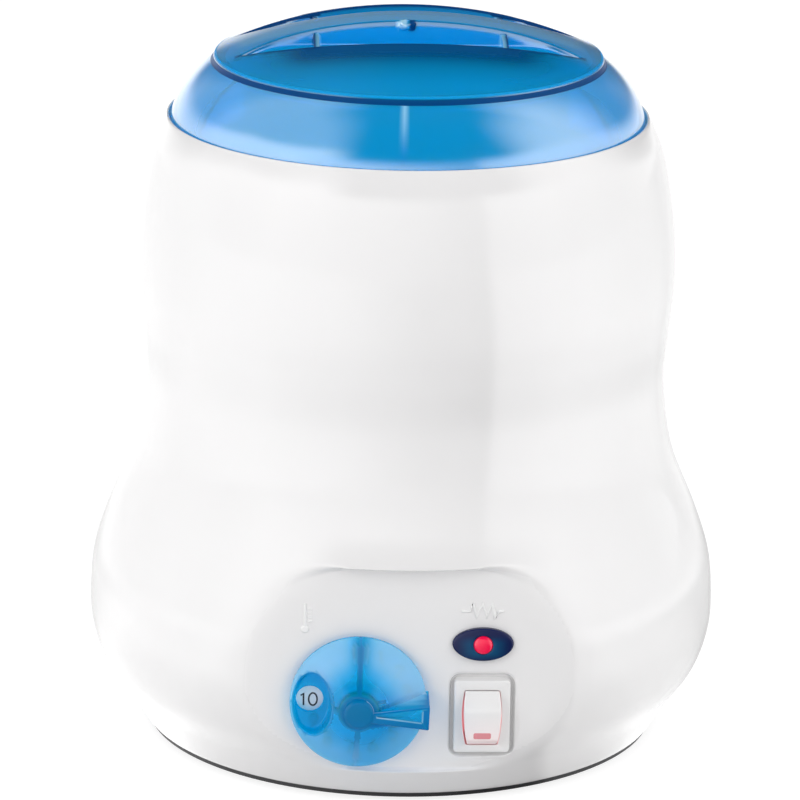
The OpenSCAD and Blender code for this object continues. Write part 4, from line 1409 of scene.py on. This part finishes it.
def grip_block():
    """The grip as a solid, with a step at its face that makes its border."""
    edge = 0.4
    loops = [grip_loop(0, h) for h in (0.6, 3, 6, 9, GRIP_T - edge)]
    loops += [grip_loop(0, GRIP_T - edge * left, edge * gone) for left, gone in quarter(1)]
    loops += [grip_loop(0, GRIP_T, edge + grow, 4.6 + grow, GRIP_BORDER) for grow in (0, 0.3, 0.6)]
    return column(loops)


def grip_place(u, v):
    """How far a place is inside the border of the grip's face."""
    return min(v - grip_low(u), GRIP_LONG - u) - 0.4 - GRIP_BORDER


def on_grip(u, v, w, clear):
    """Whether a place is on the grip, clear of the knob's sloping face."""
    return u > GRIP_START and -4.4 < v < 3.8 and w > cone_at(u, v) + clear


def grip_hollow():
    edge, wall, start = 0.35, 1.35, 5.9
    roof = GRIP_T - 1.4
    loops = [grip_loop(wall, h, 0, start) for h in (-1, 3, 6, roof - edge)]
    loops += [grip_loop(wall, roof - edge * left, edge * gone * 0.3, start) for left, gone in quarter(1, 3)]
    return column(loops)


def shaft_bore():
    """Bore of the socket, flat on one side."""
    loop = [(x, min(y, 1.65)) for x, y in ellipse(0, 0, 3.05, 3.05, 64)]
    return column([at_height(loop, w) for w in (-1, SOCKET_DEEP)])


def in_dish(u, v):
    """Whether a place of the knob's plan is in its finger well."""
    return ((u - DISH_AT) / (DISH_HALF[0] + 0.6)) ** 2 + (v / (DISH_HALF[1] + 0.6)) ** 2 < 1


def knob_inside(u, v, w):
    """1 on the knob's inner faces and 0 on its outer ones."""
    if in_dish(u, v):
        return float(w < DISH_FLOOR - 0.1)
    high = grip_high(u, w)
    if u > GRIP_START and grip_low(GRIP_START) + 0.1 < v < high + 0.05:
        return float(w < GRIP_T - 0.5 and grip_low(u) + 0.6 < v < high - 0.6 and u < GRIP_LONG - 0.6)
    return float(w < cone_at(u, v) - 0.5 and math.hypot(u, v) < KNOB_R - 0.15)


def knob_dark(u, v, w):
    """How much painted shade the knob gets, more where ribs, the socket and walls stand behind its skin."""
    radius = math.hypot(u, v)
    if in_dish(u, v):
        # Painted shade on the finger well's upper wall
        return 0.3 + 0.45 * smoothstep((v - 2) / 4) * float(w > DISH_FLOOR + 0.3)
    if radius < HUB_R + 0.2:
        return 0.84
    if radius < SOCKET_R + 0.2:
        return 0.8
    if on_grip(u, v, w, -0.1):
        return 0.05 + 0.8 * float(grip_place(u, v) < 0.1)
    # The ribs above, below and beside the socket, and the short pair at the rim
    if abs(u) < 0.72 and v > 0:
        return 0.84
    if abs(u) < 0.7 or abs(v) < 0.75 and -8 < u < 0:
        return 0.45
    return 0.5 * float(abs(abs(u) - 1.6) < 0.6 and 12.5 < v < 17)


def knob_light(u, v, w):
    """How much painted sheen the knob's outer face gets, more towards its rim and less above its hub, with
    a painted highlight line on the grip's face.
    """
    if w < cone_at(u, v) - 0.3 or in_dish(u, v):
        return 0.0
    if on_grip(u, v, w, 0.1):
        line = 0.65 * float(w > GRIP_T - 0.02 and 0.2 < grip_place(u, v) < 0.4 and u > 4.8)
        return line or 0.45 * float(w < GRIP_T - 0.5 and grip_place(u, v) > 0)
    band = math.exp(-(u / 3.0) ** 2) if v > 0 else 0.4 + 0.3 * math.exp(-((u - 3) / 6.0) ** 2)
    return 0.7 * smoothstep((math.hypot(u, v) - 6.5) / 8) * (1 - 0.9 * band)


def knob_piece():
    """The knob's skin with its socket, ribs, finger well and grip, marked for its finish."""
    to_place = facing(*DIAL, KNOB_Y, KNOB_TURN)
    piece = make("dial_knob_skin", knob_shell().moved(to_place), "knob", 35)
    socket = lathe([(0, 0.1), (SOCKET_R - 0.3, 0.1), (SOCKET_R, 0.4), (SOCKET_R, SOCKET_TOP),
                    (0, SOCKET_TOP)], 64)
    parts = [socket, knob_rib((0, 4.5), (0, 17.2), 0.6), knob_rib((0, -4.5), (0, -17.2), 0.5),
             knob_rib((-4.5, 0), (-7.5, 0), 0.6), dish_block(), grip_block()]
    parts += [knob_rib((u, 12.8), (u, 16.8), 0.5) for u in (-1.6, 1.6)]
    parts += [knob_rib((4, v), (7, v), 0.5) for v in (-2.2, 2.2)]
    for part in parts:
        join(piece, part.moved(to_place))
    number = lathe([(0, -1), (NUMBER_R, -1), (NUMBER_R, DISH_FLOOR - 0.2), (NUMBER_R + 0.2, DISH_FLOOR),
                    (NUMBER_R + 0.2, 4), (0, 4)], 72)
    number.moved(lambda u, v, w: (u + NUMBER_AT[0], v + NUMBER_AT[1], w))
    for part in (dish_cutter(), number, shaft_bore(), grip_hollow()):
        cut_away(piece, part.moved(to_place))
    finish_mesh(piece, 35)
    c, s = math.cos(math.radians(KNOB_TURN)), math.sin(math.radians(KNOB_TURN))
    for name, share in (("inside", knob_inside), ("edge", knob_dark), ("painted_highlight", knob_light)):
        def in_place(x, y, z):
            u, v = x - DIAL[0], z - DIAL[1]
            return share(u * c + v * s, v * c - u * s, -y - KNOB_Y)

        mark(piece, name, in_place)
    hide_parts("dial_knob")
    return piece


# Marks on the panel: the dial's numbers and the two signs

FIGURE_W = 2.25
FIGURE_H = 3.5
FIGURE_SECTION = ((-0.22, -0.05), (0.22, -0.05), (0.22, 0.06), (-0.22, 0.06))
FIGURES_R = 13.2
FIGURE_TURN = 27


def figure(digit):
    """Strokes of a digit in a box one wide and one high, each with whether it closes."""
    lower = (0.5, 0.31)
    upper = (0.5, 0.69)
    return {
        "0": [(ellipse(0.5, 0.5, 0.5, 0.5, 40), True)],
        "1": [([(0.16, 0.8), (0.5, 1), (0.5, 0)], False)],
        "2": [(ellipse(0.5, 0.71, 0.46, 0.29, 20, 165, -35) + [(0.03, 0), (1, 0)], False)],
        "3": [(ellipse(0.48, 0.76, 0.4, 0.24, 16, 155, -90)[:-1]
               + ellipse(0.48, 0.26, 0.48, 0.26, 18, 90, -155), False)],
        "4": [([(0.74, 0), (0.74, 1), (0.02, 0.28), (1, 0.28)], False)],
        "5": [([(0.9, 1), (0.2, 1), (0.12, 0.56)] + ellipse(0.46, 0.33, 0.5, 0.33, 20, 125, -150), False)],
        "6": [(ellipse(*lower, 0.46, 0.31, 32), True), ([(0.72, 1), (0.3, 0.68), (0.05, 0.36)], False)],
        "7": [([(0, 1), (0.96, 1), (0.36, 0)], False)],
        "8": [(ellipse(0.5, 0.76, 0.38, 0.24, 28), True), (ellipse(0.5, 0.26, 0.46, 0.26, 32), True)],
        "9": [(ellipse(*upper, 0.46, 0.31, 32), True), ([(0.28, 0), (0.7, 0.32), (0.95, 0.64)], False)],
    }[digit]


def dial_figures():
    """The numbers 0 to 10 round the dial, clockwise from the top."""
    surface = Surface()
    for number in range(11):
        angle = math.radians(90 - FIGURE_TURN * number)
        text = str(number)
        widths = [1.0 if digit == "1" else 1.3 for digit in text]
        x = FIGURES_R * math.cos(angle) - (sum(widths) - 0.3) * FIGURE_W / 2
        y = FIGURES_R * math.sin(angle) - FIGURE_H / 2
        for digit, width in zip(text, widths):
            shift = -0.12 if digit == "1" else 0
            for points, closed in figure(digit):
                line = [(x + (u + shift) * FIGURE_W, y + v * FIGURE_H) for u, v in points]
                stroke(surface, line, FIGURE_SECTION, closed)
            x += width * FIGURE_W
    surface.moved(facing(*DIAL, PANEL_Y))
    return make("dial_numbers", surface, "base", 35)


THERMOMETER = (-28.3, 50.9)
ZIGZAG = (19.3, 56.2)
ZIGZAG_LINE = ((-5.6, -0.2), (-3.4, -0.2), (-2.65, 2.2), (-1.7, -1.7), (-0.1, 2.0), (1.1, -1.7), (2.4, 2.0),
               (3.4, -2.1), (4.3, -0.2), (5.6, -0.2))
SIGN_T = 0.3


def raised_section(half, height):
    """Section of a rounded raised line."""
    return ((-half, -0.1), (half, -0.1), (half, 0.5 * height), (0.6 * half, 0.9 * height), (0, height),
            (-0.6 * half, 0.9 * height), (-half, 0.5 * height))


def panel_signs():
    """Raised thermometer and zigzag."""
    surface = Surface()
    x, z = THERMOMETER
    bulb = lathe([(0, -0.1), (1.1, -0.1), (1.1, 0.12), (0.9, 0.26), (0.5, 0.33), (0, SIGN_T + 0.04)], 32)
    surface.take(bulb.moved(lambda u, v, w: (x + u, z + v, w)))
    stroke(surface, [(x, z), (x, z + 7.2)], raised_section(0.38, SIGN_T))
    for dz in (2.2, 3.35, 4.5, 5.7):
        stroke(surface, [(x + 0.7, z + dz), (x + 1.9, z + dz)], raised_section(0.26, 0.22))
    x, z = ZIGZAG
    stroke(surface, [(x + u, z + v) for u, v in ZIGZAG_LINE], raised_section(0.34, SIGN_T))
    surface.moved(facing(0, 0, PANEL_Y))
    return make("panel_signs", surface, "base", 60)


# Stage

def add_camera():
    data = bpy.data.cameras.new("camera")
    data.sensor_width = 36.0
    data.lens = CAMERA_LENS
    data.shift_x = CAMERA_SHIFT
    data.clip_end = 20.0
    camera = new_object("camera", data)
    turn = Matrix.Rotation(math.radians(CAMERA_TURN), 4, "Z")
    place = Matrix.Translation((0, -CAMERA_DISTANCE, CAMERA_HEIGHT))
    tilt = Matrix.Rotation(math.radians(90 - CAMERA_PITCH), 4, "X")
    roll = Matrix.Rotation(math.radians(CAMERA_ROLL), 4, "Z")
    camera.matrix_world = turn @ place @ tilt @ roll
    bpy.context.scene.camera = camera


WORLD_LEVEL = 0.56
FLOOR_HALF = 3.0
FLOOR_GREY = 0.72
FLOOR_SEEN = (0.3, 0.84)        # grey and own light where the camera sees it

# Ranges in the studio as it is mirrored: from and to where, and the levels there
LEFT_LAMP = (0.44, 0.72, 0.0, 2.6)
LEFT_REAR = (0.3, 0.55, 1.0, 0.5)
LEFT_TOP = (0.3, 0.48, 1.0, 0.4)
RIGHT_LAMP = (0.72, 0.98, 0.0, 2.1)
RIGHT_REAR = (0.05, 0.65, 1.0, 0.12)
WALLS_TOP = (0.34, 0.53, 0.0, 1.0)
REAR_DARK = (0.2, 0.6, 0.0, 1.0)
REAR_FOOT = (0.05, 0.2, 0.0, 1.0)
REAR_SIDES = (0.3, 0.55, 0.92, 0.0)
SKYLINE = (0.7, 0.9, 0.0, 0.13)
SKYLINE_TOP = (0.26, 0.4, 1.0, 0.0)
FLOOR_SPREAD = (0.22, 0.42, 0.0, 1.0)
FLOOR_SHADE = (0.09, 0.2, 0.6, 1.0)

# Brightness of the studio as it is mirrored, by direction round the object:
# 0 is behind it, 0.25 its left, 0.5 its front, 0.75 its right. 0 is the dark gap, 1 the lamps.
WALLS = ((0.0, 0.3), (0.1, 0.32), (0.16, 0.52), (0.22, 0.84), (0.33, 1.0), (0.565, 0.0), (0.586, 0.0),
         (0.598, 0.5), (0.68, 0.88), (0.74, 0.8), (0.81, 0.5), (0.9, 0.28), (1.0, 0.3))
FLOOR_NEAR = ((0.0, 0.24), (0.1, 0.26), (0.16, 0.4), (0.22, 0.74), (0.33, 1.0), (0.565, 0.0), (0.586, 0.0),
              (0.598, 0.5), (0.68, 0.8), (0.74, 0.6), (0.81, 0.3), (0.9, 0.18), (1.0, 0.24))
FLOOR_FAR = ((0.0, 0.24), (0.1, 0.27), (0.194, 0.55), (0.267, 0.92), (0.323, 1.0), (0.375, 0.88),
             (0.425, 0.7), (0.471, 0.38), (0.517, 0.12), (0.565, 0.07), (0.586, 0.05), (0.6, 0.62),
             (0.663, 0.9), (0.72, 0.9), (0.786, 0.56), (0.878, 0.19), (0.97, 0.15), (1.0, 0.28))


def studio_glow(place, levels, dark, bright):
    """Brightness of the studio towards a place, between its dark gap and its lamps."""
    tree = place.tree
    turned = new_node(tree, "Mapping", {"Vector": place, "Rotation": (0, 0, math.radians(90))})
    ramp = tree.nodes.new("ShaderNodeValToRGB")
    feed(ramp, {"Fac": new_node(tree, "TexGradient", {"Vector": turned}, "Fac", gradient_type="RADIAL")})
    stops = ramp.color_ramp.elements
    stops.remove(stops[1])
    for i, (at, level) in enumerate(levels):
        stop = stops[0] if i == 0 else stops.new(at)
        stop.position = at
        stop.color = (level, level, level, 1)
    return ranged(Field(tree, ramp.outputs["Color"]), 0, 1, dark, bright, "LINEAR")


def add_world():
    world = bpy.data.worlds.new("studio")
    world.use_nodes = True
    tree = world.node_tree
    tree.nodes.clear()
    place = new_node(tree, "TexCoord", output="Generated")
    x, y, z = split(place)
    # Higher up only the two lamps at the sides are bright
    lift = z * z
    rear = larger(y, 0.0) * 0.5
    left = ranged(lift * 0.27 - x + rear, *LEFT_LAMP) * ranged(y, *LEFT_REAR)
    left = left * ranged(z + y * 0.3, *LEFT_TOP)
    right = ranged(lift * 0.45 + x + rear, *RIGHT_LAMP) * ranged(y, *RIGHT_REAR)
    level = new_node(tree, "Mix", {"Factor": ranged(z + rear, *WALLS_TOP), "B": left + right,
                                   "A": studio_glow(place, WALLS, 0.93, 2.9)})
    # Behind the object the studio is dim, but for a pale skyline
    behind = ranged(y, *REAR_DARK) * ranged(abs(x), *REAR_SIDES) * ranged(z, *REAR_FOOT)
    skyline = ranged(y, *SKYLINE) * ranged(z, *SKYLINE_TOP)
    mirrored = glow(tree, "Background", level * (1.0 - behind) + skyline)
    output = tree.nodes.new("ShaderNodeOutputWorld")
    show(output, glow(tree, "Background", WORLD_LEVEL), glow(tree, "Background", 1.0), mirrored)
    bpy.context.scene.world = world


def add_floor():
    half = FLOOR_HALF
    mesh = bpy.data.meshes.new("floor")
    corners = [(-half, -half, 0), (half, -half, 0), (half, half, 0), (-half, half, 0)]
    mesh.from_pydata(corners, [], [(0, 1, 2, 3)])
    floor = new_object("floor", mesh)
    tree, _ = new_material("floor_white")
    tree.nodes.clear()
    place = object_place(tree)
    far = new_node(tree, "VectorMath", {0: place}, "Value", operation="LENGTH")
    spread = new_node(tree, "Mix", {"Factor": ranged(far, *FLOOR_SPREAD),
                                    "A": studio_glow(place, FLOOR_NEAR, 0.13, 3.1),
                                    "B": studio_glow(place, FLOOR_FAR, 0.65, 3.4)})
    # The floor is darker close to the object, which stands in its own soft shade
    mirrored = glow(tree, "Emission", spread * ranged(far, *FLOOR_SHADE, "LINEAR"))
    seen_grey, seen_glow = FLOOR_SEEN
    plain, shaded = (new_node(tree, "BsdfDiffuse", {"Color": (grey, grey, grey)})
                     for grey in (FLOOR_GREY, seen_grey))
    white = new_node(tree, "AddShader", {0: shaded, 1: glow(tree, "Emission", seen_glow)})
    show(tree.nodes.new("ShaderNodeOutputMaterial"), plain, white, mirrored)
    paint(floor, "floor_white")


def add_light(name, place, target, size, power):
    """Soft box that lights the object but isn't mirrored by it."""
    data = bpy.data.lights.new(name, "AREA")
    data.shape = "RECTANGLE"
    data.size, data.size_y = size
    data.energy = power
    light = new_object(name, data)
    light.location = place
    aim = Vector(target) - Vector(place)
    light.rotation_euler = aim.to_track_quat("-Z", "Y").to_euler()
    light.visible_glossy = False


add_camera()
add_world()
add_floor()
add_light("left_box", (-1.1, -0.9, 0.7), (0, 0, 0.08), (0.9, 1.2), 7.5)
add_light("right_box", (1.1, -0.9, 0.7), (0, 0, 0.08), (0.9, 1.2), 6.5)
add_light("top_box", (0, 0.2, 1.6), (0, 0, 0.1), (1.2, 1.2), 5)
bpy.context.scene.view_settings.view_transform = "Standard"

shell_white("body_white", (0.84, 0.83, 0.834), (0.855, 0.849, 0.851))
plastic("base_dark", (0.012, 0.012, 0.014), 0.5, scale=1500, strength=0.12)
plastic("rubber_black", (0.012, 0.012, 0.012), 0.8, scale=1800, strength=0.3)
metal("steel", (0.58, 0.58, 0.6), 0.3)
spun_metal("aluminium", (0.8, 0.8, 0.81), 0.35)
plastic("silicone_white", (0.7, 0.7, 0.68), 0.6, scale=1200, strength=0.1)
metal("brass", (0.72, 0.52, 0.2), 0.25)
metal("heater_steel", (0.42, 0.41, 0.4), 0.42, 500, (0.05, 0.05, 1), 0.12)
felt("insulation", (0.75, 0.7, 0.58))
phenolic("bakelite", (0.05, 0.022, 0.012))
metal("copper", (0.75, 0.33, 0.18), 0.3, 900, (0.1, 1, 1))
lit_white("switch_white", (0.88, 0.875, 0.875), (1.0, 0.16, 0.18))
tinted_lens("lens_dark", (0.006, 0.012, 0.07), (0.0, 0.07, 0.17))
lit_plastic("lamp_red", (0.78, 0.0, 0.055), 0.3, 0.2, 0.15)
lit_plastic("window_pink", (0.7, 0.26, 0.29), 0.15, 0.3, 0.3)
plastic("block_ivory", (0.7, 0.66, 0.5), 0.45, scale=1200, strength=0.1)
plastic("bush_black", (0.014, 0.014, 0.014), 0.4, scale=1500, strength=0.15)
for name, colour in (("wire_brown", (0.1, 0.035, 0.012)), ("wire_blue", (0.02, 0.07, 0.4)),
                     ("wire_green", (0.1, 0.32, 0.02))):
    plastic(name, colour, 0.45, scale=1500, strength=0.1, mottle=0.1)
clear_plastic("knob_blue", (0.0, 0.72, 1.0), painted_shade_colour=(0.0, 0.14, 0.45), painted_highlight_colour=(0.62, 0.86, 1.0),
              clear=0.75, passed=(0.0, 0.93, 0.98), density=1500.0, shadow=(0.75, 0.86, 0.95),
              roughness=0.06, frost=0.3, coat_roughness=0.2, gloss=1.15)
clear_plastic("lid_blue", (0.0, 0.59, 1.0), painted_shade_colour=(0.0, 0.06, 0.2), painted_highlight_colour=(0.5, 0.85, 1.0),
              clear=0.6, passed=(0.0, 0.88, 0.97), density=600.0, shadow=(1, 1, 1),
              roughness=0.08, frost=0.35, coat_roughness=0.12, gloss=2.2)
plastic("figure_ink", (0.012, 0.014, 0.02), 0.5, scale=2000, strength=0.1)
plastic("sign_white", (0.9, 0.9, 0.9), 0.4, scale=2000, strength=0.05)

for row in frame["record"]["subparts"]:
    paint(frame["nodes"][row["node"]], row["material_slot"])
paint(body_piece(), "body_white")
paint(lid_piece(), "lid_blue")
paint(lens_piece(), "lens_dark")
paint(lamp_piece(), "lamp_red")
paint(housing_piece(), "switch_white")
rocker, window = rocker_pieces()
paint(rocker, "switch_white")
paint(window, "window_pink")
paint(knob_piece(), "knob_blue")
paint(dial_figures(), "figure_ink")
paint(panel_signs(), "sign_white")
